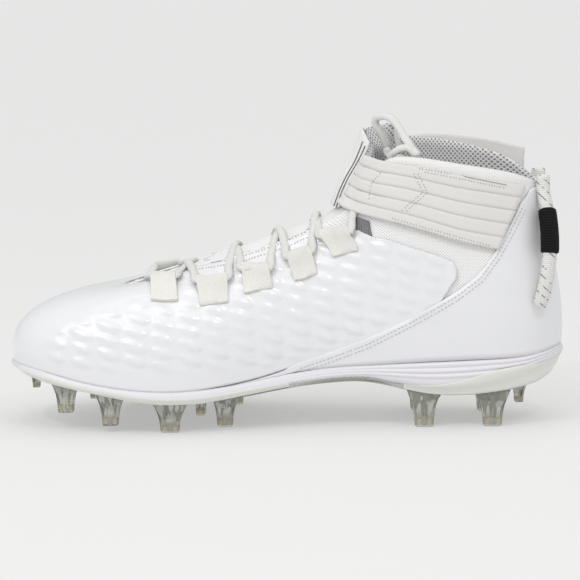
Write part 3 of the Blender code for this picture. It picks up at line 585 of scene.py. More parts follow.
# x and height along the front edge, from the collar down
PANEL_FRONT = (
    (0.1255, 0.1215), (0.1180, 0.1082), (0.1105, 0.0955), (0.1020, 0.0843), (0.0888, 0.0745),
    (0.0765, 0.0670), (0.0626, 0.0591), (0.0416, 0.0481), (0.0211, 0.0405), (0.0040, 0.0350),
)
LAP = 0.0012              # how far the leather is drawn over the shell's edge
LAP_STAND = 0.0004        # and how far it stands off there
HOLLOW_DEEP = 0.00035
# x and height of a hollow, half its length, half its width, and its slope
HOLLOWS = ((0.106, 0.094, 0.017, 0.0032, -0.35), (0.122, 0.071, 0.013, 0.0030, -0.15),
           (0.086, 0.057, 0.020, 0.0040, 0.10))


def panel_lift(point):
    """Soft hollows where the leather gives at the ankle's bend and above the heel."""
    hollow = 0.0
    for x, z, long, short, lean in HOLLOWS:
        along, up = point.x - x, point.z - z
        across = up - lean * along
        hollow += math.exp(-(along / long) ** 2 - (across / short) ** 2)
    return -HOLLOW_DEEP * hollow


def lap_front(corner, normal):
    """Draw the leather's front edge over the shell's, as the panel is sewn on top of it."""
    best = (1.0, None)
    for (x0, z0), (x1, z1) in zip(PANEL_FRONT, PANEL_FRONT[1:]):
        long = math.hypot(x1 - x0, z1 - z0)
        way = ((x1 - x0) / long, (z1 - z0) / long)
        t = min(max((corner.x - x0) * way[0] + (corner.z - z0) * way[1], 0.0), long)
        away = math.hypot(corner.x - x0 - way[0] * t, corner.z - z0 - way[1] * t)
        if away < best[0]:
            best = (away, way)
    share = 1.0 - step_between(0.0015, 0.0060, best[0])
    if share > 0.0:
        forward = Vector((best[1][1] * LAP, 0.0, -best[1][0] * LAP))
        corner += forward * share + normal * LAP_STAND * share


def touch(tree, side, x, z):
    """Where a thing at an x and a height lies on one side of the shoe: -1 inner, 1 outer."""
    hit, normal, _, _ = tree.ray_cast(Vector((x, side * 0.2, z)), Vector((0.0, -side, 0.0)))
    return (hit, normal) if hit else (None, None)


def along_surface(tree, side, route, pitch, lift=0.0):
    """Evenly spaced places, with their direction, on a line drawn over one side of the shoe."""
    line = []
    for (x0, z0), (x1, z1) in zip(route, route[1:]):
        count = max(int(math.hypot(x1 - x0, z1 - z0) / 0.0005), 1)
        for step in range(count):
            t = step / count
            hit, normal = touch(tree, side, x0 + (x1 - x0) * t, z0 + (z1 - z0) * t)
            if hit:
                line.append((hit + normal * lift, normal))
    found = []
    travel = 0.0
    for (point, normal), (ahead, _) in zip(line, line[1:]):
        travel += (ahead - point).length
        if travel >= pitch and (ahead - point).length < pitch:
            found.append((point, normal, (ahead - point).normalized()))
            travel -= pitch
    return found


def sew(name, rows, finish, slot, long=0.0016, wide=STITCH_WIDE):
    """Stitches as small rounded beads of thread, half sunk in what they hold."""
    bm = bmesh.new()
    for found in rows:
        for point, normal, way in found:
            across = normal.cross(way).normalized()
            turn = Matrix((way * long / 2, across * wide / 2, normal * wide * 0.45)).transposed().to_4x4()
            turn.translation = point
            bmesh.ops.create_uvsphere(bm, u_segments=6, v_segments=4, radius=1.0, matrix=turn)
    bmesh.ops.recalc_face_normals(bm, faces=bm.faces)
    return finish_piece(body_from(name, bm, finish), slot)


smooth_leather = new_material("smooth_leather", (0.83, 0.83, 0.845), 0.36,
                              (("Coat Weight", 0.25), ("Coat Roughness", 0.25)))
emboss(smooth_leather, mottle(smooth_leather, 2600.0, 2.0), 0.00005, 0.5)
cloud(smooth_leather, 30.0, 0.12, (0.74, 0.735, 0.76))
panel = cover("heel_leather", "heel_panel", 2, panel_lift, smooth_leather)
normals = [corner.normal.copy() for corner in panel.data.vertices]
for corner, normal in zip(panel.data.vertices, normals):
    lap_front(corner.co, normal)
finish_piece(panel, "white_leather", "heel_panel")
panel_tree = tree_of(panel.data)

thread = new_material("white_thread", (0.50, 0.50, 0.51), 0.7)
emboss(thread, mottle(thread, 3000.0), 0.0001)


def beside(route, distance):
    """The same line moved sideways in side view, to the heel side of the way down."""
    moved = []
    for i, (x, z) in enumerate(route):
        x0, z0 = route[max(i - 1, 0)]
        x1, z1 = route[min(i + 1, len(route) - 1)]
        size = math.hypot(x1 - x0, z1 - z0)
        moved.append((x - (z1 - z0) / size * distance, z + (x1 - x0) / size * distance))
    return moved


STITCH_PITCH = 0.0022
STITCH_ROWS = (0.0020, 0.0042)   # each row's distance from the front edge
rows = []
for side in (-1, 1):
    for distance in STITCH_ROWS:
        rows.append(along_surface(panel_tree, side, beside(PANEL_FRONT, distance), STITCH_PITCH, 0.0001))
sew("panel_stitches", rows, thread, "white_leather")

# Insole: a die-cut sheet of soft foam with a grey cloth face, laid loose on the floor of the
# bootie. It is hidden in the shoe and plainly finished.
insole_cloth = new_material("insole_cloth", (0.62, 0.62, 0.63), 0.9)
emboss(insole_cloth, mottle(insole_cloth, 1500.0), 0.0002)
insole = dressed("insole", "insole_foam", 1.0, 0.7, 2, insole_cloth)
finish_piece(insole, "lining", "insole")

# Tongue: thin foam between a white cloth face and a grey mesh back, sewn in under the throat and
# standing above the strap. The near side of its top is folded down, the far side leans back.
FOLD_LEVEL = 0.138        # the near side is folded down above this
FOLD_SHARE = 0.88
FAR_BACK = 0.0055         # how far the far side leans back
CLOTH_BACK = 0.046        # the cloth face lies in front of this
tongue_cloth = new_material("tongue_cloth", (0.82, 0.82, 0.81), 0.85)
emboss(tongue_cloth, mottle(tongue_cloth, 2200.0), 0.00015)
tongue = dressed("tongue", "padded_tongue", 1.2, 0.4, 2, white_knit, spacer_mesh, tongue_cloth)
for corner in tongue.data.vertices:
    near = 1.0 - step_between(-0.010, 0.002, corner.co.y)
    fold = step_between(0.136, 0.144, corner.co.z) * near
    corner.co.z -= FOLD_SHARE * max(corner.co.z - FOLD_LEVEL, 0.0) * fold
    far = step_between(0.002, 0.014, corner.co.y) * step_between(0.134, 0.150, corner.co.z)
    corner.co.x += FAR_BACK * far
wrap_map(tongue)
for face in tongue.data.polygons:
    if faces_in(face.center, face.normal):
        face.material_index = 1
    elif face.center.x < CLOTH_BACK:
        face.material_index = 2
finish_piece(tongue, "lining", "tongue")

# Midsole: a moulded carrier of white foam between upper and plate, faintly violet, with four
# ribs round the heel that run out towards the arch. Cemented to the upper along a thin line.
FOAM_SWELL = 0.0007
TOE_DRAW = 0.0019         # how far the tips are drawn in
HEEL_DRAW = 0.0017
foam = new_material("carrier_foam", (0.79, 0.775, 0.81), 0.42, (("Coat Weight", 0.15),))
emboss(foam, mottle(foam, 900.0, 2.0), 0.00008, 0.5)
cloud(foam, 26.0, 0.22, (0.70, 0.68, 0.70))
midsole = dressed("midsole", "ribbed_midsole", 1.3, 0.6, 3, foam)


def swell(piece, amount):
    """Move a piece's surface outwards, to meet what it is joined to."""
    normals = [corner.normal.copy() for corner in piece.data.vertices]
    for corner, normal in zip(piece.data.vertices, normals):
        corner.co += normal * amount


swell(midsole, FOAM_SWELL)
for corner in midsole.data.vertices:
    toe = TOE_DRAW * step_between(0.120, 0.146, -corner.co.x)
    corner.co.x += toe - HEEL_DRAW * step_between(0.120, 0.146, corner.co.x)
finish_piece(midsole, "midsole_foam", "midsole")

# Outsole plate: one moulding of clear, faintly green polyurethane, cream where it is thick. Its
# edge wraps up over the foam, highest round the heel, and is ribbed along the arch.
ARCH = (0.0, 0.062)       # from x to x the plate is thin and clear
clear = new_material("clear_polyurethane", (0.58, 0.585, 0.525), 0.10,
                     (("Transmission Weight", 0.82), ("IOR", 1.42)))
emboss(clear, mottle(clear, 350.0), 0.00015, 0.6)
arch_clear = new_material("arch_polyurethane", (0.52, 0.535, 0.48), 0.18, (("Transmission Weight", 0.35),))
emboss(arch_clear, mottle(arch_clear, 350.0), 0.00015, 0.6)
# towards both ends of the arch the colour goes over to the cream
from_middle = maths(arch_clear, "ABSOLUTE", maths(arch_clear, "SUBTRACT", places(arch_clear)[1][0], 0.031))
stain(arch_clear, maths(arch_clear, "MULTIPLY_ADD", from_middle, 50.0, -0.55), (0.80, 0.80, 0.745))
cream = new_material("cream_rim", (0.775, 0.775, 0.725), 0.3,
                     (("Coat Weight", 0.4), ("Subsurface Weight", 0.15),
                      ("Subsurface Radius", (0.004, 0.004, 0.003))))
emboss(cream, mottle(cream, 500.0), 0.00010, 0.5)
plate = dressed("outsole_plate", "clear_plate", 1.2, 0.5, 2, cream, clear, arch_clear)
for face in plate.data.polygons:
    if ARCH[0] < face.center.x < ARCH[1]:
        face.material_index = 2
    elif face.normal.z < -0.5:
        face.material_index = 1
finish_piece(plate, "clear_plate", "outsole_plate")

# The plate's edge is followed round the sole in stations, each scanned down from the side.
# x and how far up the sole's side the edge reaches there
EDGE_TALL = ((-0.150, 0.0045), (-0.110, 0.0034), (-0.020, 0.0034), (0.010, 0.0012), (0.055, 0.0012),
             (0.064, 0.0028), (0.078, 0.0050), (0.0960, 0.0088), (0.1110, 0.0128), (0.1250, 0.0134),
             (0.1400, 0.0112), (0.1500, 0.0095))
EDGE_STEP = 0.0016        # from one station of the edge to the next
EDGE_ROWS = 9
EDGE_STAND = 0.0004       # how far the edge stands off the sole
EDGE_THICK = 0.0009
EDGE_TUCK = 0.0065        # the sole's side is no further in than this
RIB_DEEP = 0.0006         # of every other station along the arch
SCAN = 0.0005             # from one height that is tried to the next
FAR_OUT = 0.2             # rays start so far from the shoe
sole_tree = tree_of(midsole.data, plate.data)


def reach_of(centre, way, z):
    """How far from an upright axis the sole reaches at a height."""
    start = Vector((centre, 0.0, z)) + way * FAR_OUT
    hit, _, _, away = sole_tree.ray_cast(start, -way)
    return FAR_OUT - away if hit and away < FAR_OUT else None


stations = []
TOE_AXIS = -0.102
HEEL_AXIS = 0.112
straight = int((HEEL_AXIS - TOE_AXIS) / EDGE_STEP)
for step in range(straight):
    stations.append((TOE_AXIS + step * EDGE_STEP, -90.0))
for step in range(64):
    stations.append((HEEL_AXIS, -90.0 + 180.0 * step / 64))
for step in range(straight):
    stations.append((HEEL_AXIS - step * EDGE_STEP, 90.0))
for step in range(80):
    stations.append((TOE_AXIS, 90.0 + 180.0 * step / 80))
grid = []
for centre, turn in stations:
    way = Vector((math.cos(math.radians(turn)), math.sin(math.radians(turn)), 0.0))
    found = [(level * SCAN, reach_of(centre, way, level * SCAN)) for level in range(90, 8, -1)]
    found = [(z, reach) for z, reach in found if reach is not None]
    widest = max(reach for _, reach in found)
    found = [(z, reach) for z, reach in found if reach > widest - EDGE_TUCK]
    bottom = found[-1][0]
    top = bottom + on_table(EDGE_TALL, centre + way.x * widest)
    found = [(z, reach) for z, reach in found if z <= top + SCAN]
    reaches = [reach for _, reach in found]
    for _ in range(8):
        reaches = [max(reaches[k], (reaches[max(k - 1, 0)] + reaches[min(k + 1, len(reaches) - 1)]) / 2)
                   for k in range(len(reaches))]
    line = []
    for k in range(EDGE_ROWS):
        place = (len(found) - 1) * k / (EDGE_ROWS - 1)
        low = min(int(place), len(found) - 2)
        reach = reaches[low] + (reaches[low + 1] - reaches[low]) * (place - low)
        z = top + (bottom - top) * k / (EDGE_ROWS - 1)
        line.append(Vector((centre, 0.0, z)) + way * (reach + EDGE_STAND))
    grid.append(line)
for _ in range(6):
    grid = [[(grid[i - 1][k] + grid[i][k] * 2 + grid[(i + 1) % len(grid)][k]) / 4 for k in range(EDGE_ROWS)]
            for i in range(len(grid))]
for number, line in enumerate(grid):
    if ARCH[0] < line[0].x < ARCH[1] and number % 2:
        for point in line:
            point.y += math.copysign(RIB_DEEP, point.y)
bm = bmesh.new()
corners = [[bm.verts.new(point) for point in line] for line in grid]
for i in range(len(corners)):
    ahead = corners[(i + 1) % len(corners)]
    for k in range(EDGE_ROWS - 1):
        face = bm.faces.new((corners[i][k], corners[i][k + 1], ahead[k + 1], ahead[k]))
        if ARCH[0] < corners[i][k].co.x < ARCH[1]:
            face.material_index = 1
bmesh.ops.recalc_face_normals(bm, faces=bm.faces)
edge = body_from("outsole_edge", bm, cream, arch_clear)
walled(edge, EDGE_THICK, -1.0)
finish_piece(settle(edge), "clear_plate")

# Studs: blades moulded in one with the plate, broad where they leave it and hollowed on each side
# of a middle rib. A cream insert shows through on both sides of each flat tip.
plate_tree = tree_of(plate.data)
STUD_SIDES = 32
# share of the stud's height from its foot, share of its box's width, of its depth, and fluting
STUD_FORM = ((0.0, 0.44, 0.54, 0.10), (0.03, 0.46, 0.56, 0.20), (0.35, 0.50, 0.60, 0.26),
             (0.62, 0.58, 0.70, 0.22), (0.82, 0.70, 0.80, 0.14), (1.0, 0.90, 0.90, 0.04))
STUD_BITE = 0.0008        # how far a stud's top goes into the plate
# painted light: the cream insert glows faintly in its own colour, though it is no lamp
INSERT_CREAM_AND_GLOW = (0.95, 0.86, 0.66)
insert_cream_glow = new_material("insert_cream_glow", INSERT_CREAM_AND_GLOW, 0.35,
                            (("Emission Color", (*INSERT_CREAM_AND_GLOW, 1.0)), ("Emission Strength", 0.12)))
emboss(insert_cream_glow, mottle(insert_cream_glow, 500.0), 0.0001, 0.5)
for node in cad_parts:
    if not node.startswith("stud_"):
        continue
    low_corner, high_corner = (Vector(corner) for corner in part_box(node))
    middle = (low_corner + high_corner) / 2
    half = (high_corner - low_corner) / 2
    bm = bmesh.new()
    rings = []
    for share, wide, deep, flute in STUD_FORM:
        ring = bmesh.ops.create_circle(bm, segments=STUD_SIDES, radius=1.0)["verts"]
        for corner in ring:
            turn = math.atan2(corner.co.y, corner.co.x)
            square = (abs(math.cos(turn)) ** 5 + abs(math.sin(turn)) ** 5) ** -0.2
            cut = square * (1.0 - flute * (0.5 - 0.5 * math.cos(8 * turn)))
            corner.co = Vector((middle.x + math.cos(turn) * cut * half.x * wide,
                                middle.y + math.sin(turn) * cut * half.y * deep,
                                low_corner.z + (high_corner.z - low_corner.z) * share))
            if share == 1.0:
                # draw the top ring in until the plate is above it, and raise it there
                for _ in range(8):
                    under = Vector((corner.co.x, corner.co.y, 0.0))
                    hit = plate_tree.ray_cast(under, Vector((0.0, 0.0, 1.0)))[0]
                    if hit and hit.z < high_corner.z + 0.003:
                        break
                    corner.co.x += (middle.x - corner.co.x) * 0.12
                    corner.co.y += (middle.y - corner.co.y) * 0.12
                corner.co.z = hit.z + STUD_BITE if hit else high_corner.z
        rings.append(ring)
    for below, over in zip(rings, rings[1:]):
        for k in range(STUD_SIDES):
            j = (k + 1) % STUD_SIDES
            bm.faces.new((below[k], below[j], over[j], over[k]))
    bm.faces.new(rings[0])
    bm.faces.new(rings[-1])
    bmesh.ops.recalc_face_normals(bm, faces=bm.faces)
    stud = body_from(node.replace("stud", "blade"), bm, clear)
    stud.data.set_sharp_from_angle(angle=math.radians(22))
    finish_piece(stud, "clear_plate", node)
    bm = bmesh.new()
    for way in (-1, 1):
        block = bmesh.ops.create_cube(bm, size=1.0)["verts"]
        bmesh.ops.scale(bm, vec=(half.x * 0.24, half.y * 0.62, half.z * 0.42), verts=block)
        place = (middle.x + way * half.x * 0.22, middle.y, low_corner.z + half.z * 0.30)
        bmesh.ops.translate(bm, vec=place, verts=block)
    bmesh.ops.bevel(bm, geom=bm.edges[:], offset=0.0003, affect="EDGES", segments=2,
                    profile=0.5, material=-1)
    finish_piece(body_from(node.replace("stud", "insert"), bm, insert_cream_glow), "clear_plate")

# Ankle strap: five bands of elastic webbing on one backing, sewn down at the inner side and
# drawn round the front to the outer side. The sewn lines on it are dotted.
END_FROM, END_TO = 0.090, 0.112   # the strap's two ends are drawn back more from x to x
FREE_END_BACK = 0.0060
FREE_END_IN = 0.40                # share of that by which the free end goes inwards
elastic = new_material("elastic_web", (0.755, 0.735, 0.715), 0.62, (("Sheen Weight", 0.2),))
emboss(elastic, waves(elastic, places(elastic, "UV")[1][0], 0.0009), 0.00004, 0.4)
emboss(elastic, mottle(elastic, 1400.0), 0.00015, 0.5)
cloud(elastic, 60.0, 0.2, (0.68, 0.66, 0.645))
strap = dressed("strap", "ankle_strap", 0.32, 0.85, 2, elastic)
for corner in strap.data.vertices:
    point = corner.co.copy()
    share = step_between(END_FROM, END_TO, point.x)
    if point.y > 0.0:
        corner.co.x += FREE_END_BACK * share
        corner.co.y -= FREE_END_IN * FREE_END_BACK * share
    elif share > 0.0:
        # the sewn end stays as far off the knit as it was
        near, normal, _, _ = cad_upper.find_nearest(point)
        stand = (point - near).dot(normal)
        point.x += (0.0012 + 0.0030 * step_between(0.100, 0.134, point.z)) * share
        near, normal, _, _ = cad_upper.find_nearest(point)
        corner.co = near + normal * stand
wrap_map(strap)
finish_piece(strap, "strap_web", "strap")
strap_tree = tree_of(strap.data)
dots = new_material("strap_thread", (0.42, 0.405, 0.39), 0.8)
emboss(dots, mottle(dots, 3000.0), 0.0001)
# x and height along each dotted line: two at the top, two across, two below, one in front
STRAP_ROWS = (
    ((0.069, 0.1425), (0.092, 0.1385), (0.1185, 0.1325)),
    ((0.072, 0.1405), (0.092, 0.1368), (0.1175, 0.1308)),
    ((0.0668, 0.1405), (0.0723, 0.1296), (0.0600, 0.1189)),
    ((0.0692, 0.1405), (0.0747, 0.1294), (0.0622, 0.1183)),
    ((0.0547, 0.1158), (0.0800, 0.1088), (0.1090, 0.1005)),
    ((0.0560, 0.1136), (0.0800, 0.1070), (0.1085, 0.0990)),
    ((0.0500, 0.1400), (0.0450, 0.1340), (0.0432, 0.1240)),
)
rows = [along_surface(strap_tree, -1, route, 0.0017) for route in STRAP_ROWS]
sew("strap_stitches", rows, dots, "strap_web", long=0.0008, wide=0.0007)

# Lace loops: doubled polyester webbing, about 15 mm wide, that comes out of the shell's edge and
# folds over the lace. Five on each side.
# x and height of the foot's front and back corners, then of the fold's front and back
LOOPS = (
    ((-0.0738, 0.0715), (-0.0593, 0.0716), (-0.0736, 0.0794), (-0.0603, 0.0805)),
    ((-0.0474, 0.0692), (-0.0323, 0.0712), (-0.0492, 0.0798), (-0.0330, 0.0811)),
    ((-0.0238, 0.0756), (-0.0087, 0.0780), (-0.0250, 0.0860), (-0.0098, 0.0871)),
    ((0.0032, 0.0815), (0.0156, 0.0851), (-0.0001, 0.0927), (0.0129, 0.0959)),
    ((0.0243, 0.0940), (0.0377, 0.0981), (0.0184, 0.1042), (0.0346, 0.1080)),
)
LOOP_STEPS = 6            # across a loop
CELL_ACROSS = 0.0025      # one cell of the webbing, in its UV map
CELL_UP = 0.0022
WEB_THICK = 0.0013
LACE_LIFT = 0.0032        # middle of the lace in a loop, above the shell
FOLD_ROOM = LACE_DEEP / 2 + 0.0002   # from there to the webbing round the lace
TUCK = 0.0030             # the fold's two sides meet so far below the lace
body_tree = tree_of(bootie.data, shell.data, panel.data, tongue.data)

webbing = new_material("loop_webbing", (0.835, 0.825, 0.775), 0.72, (("Sheen Weight", 0.15),))
across_web, up_web = places(webbing, "UV")[1][:2]
weave = maths(webbing, "MULTIPLY", waves(webbing, across_web, 0.0011), waves(webbing, up_web, 0.0008))
emboss(webbing, weave, 0.00018, 0.7)
cloud(webbing, 80.0, 0.15, (0.74, 0.73, 0.68))


def on_body(side, x, z):
    """A place on the dressed body, searched downwards where a height is above the shoe."""
    for drop in range(40):
        hit, normal = touch(body_tree, side, x, z - drop * 0.0005)
        if hit:
            return hit, normal
    return None, None


def woven(name, lines, finish, mapped=False):
    """A sheet through lines of points, which may have a UV map in metres."""
    bm = bmesh.new()
    uv = bm.loops.layers.uv.new("UVMap") if mapped else None
    grid = [[bm.verts.new(point) for point in line] for line in lines]
    for i in range(len(grid) - 1):
        for k in range(len(grid[0]) - 1):
            around = ((i, k), (i + 1, k), (i + 1, k + 1), (i, k + 1))
            face = bm.faces.new([grid[a][b] for a, b in around])
            if mapped:
                for corner, (a, b) in zip(face.loops, around):
                    corner[uv].uv = (a * CELL_ACROSS, b * CELL_UP)
    bmesh.ops.recalc_face_normals(bm, faces=bm.faces)
    return body_from(name, bm, finish)


def bevelled(piece, width):
    """Round a sheet's cut edges."""
    edges = piece.modifiers.new("edges", "BEVEL")
    edges.width = width
    edges.segments = 2
    edges.limit_method = "ANGLE"
    return edges


entries = {}
for number, corners in enumerate(LOOPS, 1):
    for side, side_name in ((-1, "inner"), (1, "outer")):
        low_front, low_back, top_front, top_back = corners
        lines = []
        tunnel = []
        for k in range(LOOP_STEPS + 1):
            t = k / LOOP_STEPS
            x0, z0 = (low_front[i] + (low_back[i] - low_front[i]) * t for i in (0, 1))
            x1, z1 = (top_front[i] + (top_back[i] - top_front[i]) * t for i in (0, 1))
            foot, foot_normal = on_body(side, x0, z0)
            middle, middle_normal = on_body(side, (x0 + x1) / 2, (z0 + z1) / 2)
            top, top_normal = on_body(side, x1, z1)
            up = (top - foot).normalized()
            centre = top + top_normal * LACE_LIFT
            tunnel.append(centre)
            line = [foot + foot_normal * 0.0002 - up * 0.0006, foot + foot_normal * 0.0011]
            line.append(middle + middle_normal * (LACE_LIFT * 0.45))
            line.append(top - up * TUCK + top_normal * (LACE_LIFT + FOLD_ROOM * 0.55))
            for turn in (0.0, 45.0, 90.0, 135.0, 180.0):
                angle = math.radians(turn)
                line.append(centre + up * math.sin(angle) * (FOLD_ROOM + 0.0006)
                            + top_normal * math.cos(angle) * FOLD_ROOM)
            line.append(top - up * TUCK + top_normal * 0.0006)
            lines.append(line)
        loop = woven(f"webbing_{side_name}_{number}", lines, webbing, mapped=True)
        walled(loop, WEB_THICK, 0.0).use_even_offset = True
        bevelled(loop, 0.00025).angle_limit = math.radians(50)
        settle(loop)
        rounded(loop, 1)
        finish_piece(loop, "lace_web", f"lace_loop_{side_name}_{number}")
        entries[number, side] = tunnel

# Lacing: the flat lace runs through the webbing of both sides in turn and crosses itself over
# the tongue, pulled taut. It starts with a bar at the toe end and goes under the strap.
top_tree = tree_of(bootie.data, shell.data, tongue.data)


def above(x, y):
    """Where a thing lies on the shoe, seen from straight above."""
    hit, normal, _, _ = top_tree.ray_cast(Vector((x, y, 0.2)), Vector((0.0, 0.0, -1.0)))
    return (hit, normal) if hit else (None, None)


def crossing(start, end, hump):
    """Points from one loop to the next across the tongue, laid taut over what is below."""
    found = []
    for step in range(1, 10):
        t = step / 10
        point = start.lerp(end, t)
        hit, _ = above(point.x, point.y)
        rise = LACE_DEEP / 2 + 0.0005 + hump * math.exp(-((t - 0.5) / 0.16) ** 2)
        if hit and point.z < hit.z + rise:
            point.z = hit.z + rise
        found.append(point)
    for _ in range(3):
        smoothed = []
        for i, point in enumerate(found):
            before = found[i - 1] if i else start
            after = found[i + 1] if i < len(found) - 1 else end
            smoothed.append((before + 2 * point + after) / 4)
        found = smoothed
    return found


def run_lace(name, route, nodes):
    """A lace along a route, with its flat side on what it lies on."""
    line = smooth_line(route, len(route) * 4)
    ups = []
    for point in line:
        near, normal, _, _ = top_tree.find_nearest(point)
        away = point - near
        ups.append(away.normalized() if away.length > 0.0008 else normal)
    for _ in range(3):
        ups = [(ups[max(i - 1, 0)] + ups[i] * 2 + ups[min(i + 1, len(ups) - 1)]).normalized()
               for i in range(len(ups))]
    lace = sweep(name, line, ups)
    lace.data.materials.append(lace_weave)
    return finish_piece(lace, "lace_web", *nodes)


# the side that a lace starts from, how far it humps over the other one, its name and its nodes
LACES = (
    (-1, 0.0, "lace_under", ("lace_bar_front", "lace_cross_1", "lace_cross_3")),
    (1, LACE_DEEP * 1.05, "lace_over", ("lace_cross_2", "lace_cross_4", "lace_cross_top")),
)
for side, hump, name, nodes in LACES:
    start = entries[1, side][0]
    middle = (entries[1, -1][0] + entries[1, 1][0]) / 2 + Vector((-0.004, 0.0, 0.0))
    hit, _ = above(middle.x, middle.y)
    middle.z = hit.z + LACE_DEEP / 2 + 0.0004
    middle.y += side * 0.0006
    route = [middle] + crossing(middle, start, 0.0)[1::3]
    for number in range(1, len(LOOPS) + 1):
        tunnel = entries[number, side]
        route += [tunnel[0], tunnel[3], tunnel[6]]
        if number < len(LOOPS):
            side = -side
            route += crossing(tunnel[6], entries[number + 1, side][0], hump)
    end = Vector((0.0445, side * -0.002, 0.0))
    hit, _ = above(end.x, end.y)
    end.z = hit.z + LACE_DEEP / 2 + 0.0003
    route += crossing(route[-1], end, hump)[:6]
    run_lace(name, route, nodes)

# Throat cloth: the white knit lining shows in front of the tongue, where the shell's opening
# begins. It is one layer, held flat between the shell and the tongue.
CLOTH_X = (-0.096, -0.056)
CLOTH_Y = 0.027
CLOTH_STEPS = 20
CLOTH_THICK = 0.0006
CLOTH_BELOW = 0.0011      # the cloth lies so far under the shell's top
EDGE_LEAST = 0.066        # what lies lower is the shoe's inside, which the cloth spans
steps = range(CLOTH_STEPS + 1)
across_x = [CLOTH_X[0] + (CLOTH_X[1] - CLOTH_X[0]) * i / CLOTH_STEPS for i in steps]
across_y = [-CLOTH_Y + 2 * CLOTH_Y * k / CLOTH_STEPS for k in steps]
levels = []
for x in across_x:
    hits = [above(x, y)[0] for y in across_y]
    levels.append([hit.z if hit and hit.z > EDGE_LEAST else None for hit in hits])
known = [[level is not None for level in line] for line in levels]
levels = [[0.078 if level is None else level for level in line] for line in levels]
# draw the free part taut between its edges
for _ in range(150):
    for i in range(1, CLOTH_STEPS):
        for k in range(1, CLOTH_STEPS):
            if not known[i][k]:
                levels[i][k] = (levels[i - 1][k] + levels[i + 1][k] + levels[i][k - 1]
                                + levels[i][k + 1]) / 4
lines = [[(across_x[i], across_y[k], levels[i][k] - CLOTH_BELOW) for k in steps] for i in steps]
cloth = woven("throat_cloth", lines, tongue_cloth)
walled(cloth, CLOTH_THICK, -1.0)
finish_piece(settle(cloth), "white_knit")

# Seams of the throat: rows of thread on the tongue's cloth and the lace loops' backing, which
# show between the loops.
THROAT_ROWS = (
    ((-0.0580, 0.0840), (-0.0520, 0.0855), (-0.0300, 0.0895), (-0.0270, 0.0900),
     (-0.0060, 0.0965), (0.0010, 0.0990), (0.0160, 0.1060), (0.0200, 0.1080)),
    ((-0.0560, 0.0865), (-0.0300, 0.0915), (-0.0060, 0.0990), (0.0140, 0.1080)),
)
rows = [along_surface(body_tree, side, route, 0.0018, 0.0002) for side in (-1, 1) for route in THROAT_ROWS]
sew("throat_stitches", rows, dots, "lining", long=0.0010, wide=0.0005)

# Tongue front: a white stay of thin cloth that covers the tongue's foam in front of the strap,
# with two thin dark cords sewn side by side along its inner edge.
# x and height up its middle
FRONT_LINE = ((0.0237, 0.1195), (0.0270, 0.1285), (0.0305, 0.1360), (0.0347, 0.1436),
              (0.0380, 0.1530), (0.0403, 0.1615))
FRONT_HALF = 0.0128
FRONT_CURVE = 24.0        # it bends back by this times the distance squared, more on the outer side
FRONT_STEPS = 16
front_line = smooth_line([(x, 0.0, z) for x, z in FRONT_LINE], 20)


def stay_place(point, y):
    """A place on the stay, which bends round the tongue and has a rounded top."""
    drop = 6.0 + 40.0 * step_between(0.140, 0.162, point.z)
    bend = FRONT_CURVE if y < 0.0 else FRONT_CURVE * 2.4
    return Vector((point.x + bend * y * y, y, point.z - drop * y * y))


across_y = [-FRONT_HALF + 2 * FRONT_HALF * k / FRONT_STEPS for k in range(FRONT_STEPS + 1)]
lines = [[stay_place(point, y) for y in across_y] for point in front_line]
stay = woven("tongue_front", lines, tongue_cloth)
walled(stay, 0.0012, 0.0)
bevelled(stay, 0.0004)
finish_piece(settle(stay), "white_knit")
pipe_black = new_material("black_piping", (0.05, 0.05, 0.052), 0.6)
emboss(pipe_black, mottle(pipe_black, 1500.0), 0.0001)
PIPE_WIDE = 0.00048
for number, y in ((1, -0.0088), (2, -0.0114)):
    line = [stay_place(point, y) + Vector((-0.0007, -0.0009, 0.0)) for point in front_line[:19]]
    ups = [Vector((-0.7, -0.7, 0.0))] * len(line)
    pipe = sweep(f"tongue_piping_{number}", line, ups, PIPE_WIDE, PIPE_WIDE, 8)
    pipe.data.materials.append(pipe_black)
    finish_piece(pipe, "black_web")

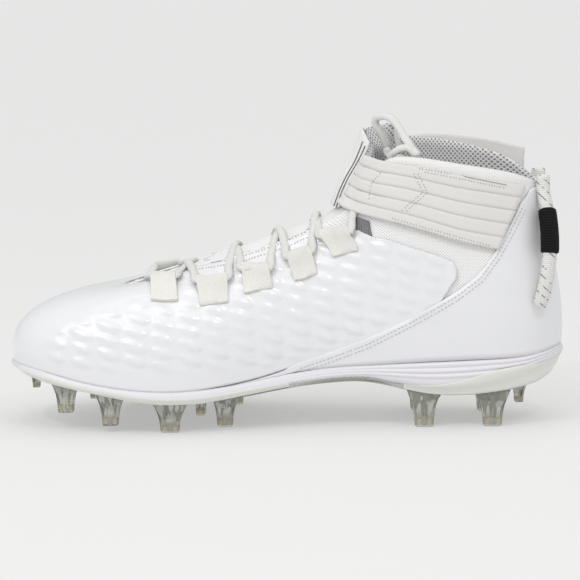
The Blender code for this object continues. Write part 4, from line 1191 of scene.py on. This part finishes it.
# Elastic gusset: a short piece of dark ribbed elastic that joins the strap's lower corner to
# the tongue, on the inner side.
# x and height of its lower front, lower back, upper front and upper back corners
GUSSET = ((0.0372, 0.1050), (0.0455, 0.1045), (0.0372, 0.1150), (0.0440, 0.1130))
GUSSET_STEPS = 6
gusset_web = new_material("dark_elastic", (0.16, 0.16, 0.17), 0.75)
emboss(gusset_web, waves(gusset_web, places(gusset_web)[1]["X"], 0.0012), 0.0003, 0.8)
cloud(gusset_web, 700.0, 0.6, (0.42, 0.42, 0.43))
bootie_tree = tree_of(bootie.data)
lines = []
for i in range(GUSSET_STEPS + 1):
    line = []
    for k in range(GUSSET_STEPS + 1):
        a, b = i / GUSSET_STEPS, k / GUSSET_STEPS
        x, z = ((GUSSET[0][way] * (1 - a) + GUSSET[1][way] * a) * (1 - b)
                + (GUSSET[2][way] * (1 - a) + GUSSET[3][way] * a) * b for way in (0, 1))
        hit, normal = touch(bootie_tree, -1, x, z)
        line.append(hit + normal * 0.0003)
    lines.append(line)
gusset = woven("elastic_gusset", lines, gusset_web)
walled(gusset, 0.0007, 1.0)
finish_piece(settle(gusset), "lining")

# Pull loops: cream webbing with dark flecks, sewn to the heel at both ends on each side, each
# with a black ribbed sleeve round its middle.
PULL_SWELL = 0.0013
fleck_web = new_material("flecked_webbing", (0.80, 0.785, 0.76), 0.75)
spots = places(fleck_web)[1]
slant = maths(fleck_web, "ADD", maths(fleck_web, "MULTIPLY", spots["Z"], 190.0),
              maths(fleck_web, "MULTIPLY", spots["X"], 170.0))
fleck = maths(fleck_web, "GREATER_THAN", waves(fleck_web, slant, 1.0), 0.86)
patch = maths(fleck_web, "GREATER_THAN", mottle(fleck_web, 300.0), 0.5)
stain(fleck_web, maths(fleck_web, "MULTIPLY", fleck, patch), (0.28, 0.28, 0.30))
emboss(fleck_web, waves(fleck_web, spots["Z"], 0.0011), 0.0002, 0.7)
black_rib = new_material("black_ribbed_sleeve", (0.007, 0.007, 0.008), 0.85,
                         (("Specular IOR Level", 0.2),))
emboss(black_rib, waves(black_rib, places(black_rib)[1]["Z"], 0.0014), 0.0004, 0.9)
cloud(black_rib, 900.0, 0.35, (0.018, 0.018, 0.020))
for side_name in ("inner", "outer"):
    for node, name, finish, slot in (("pull_loop", "heel_pull", fleck_web, "lace_web"),
                                     ("pull_sleeve", "heel_sleeve", black_rib, "black_web")):
        pulled = dressed(f"{node}_{side_name}", f"{name}_{side_name}", 1.2, 0.5, 2, finish)
        swell(finish_piece(pulled, slot, f"{node}_{side_name}"), PULL_SWELL)

low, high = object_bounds()
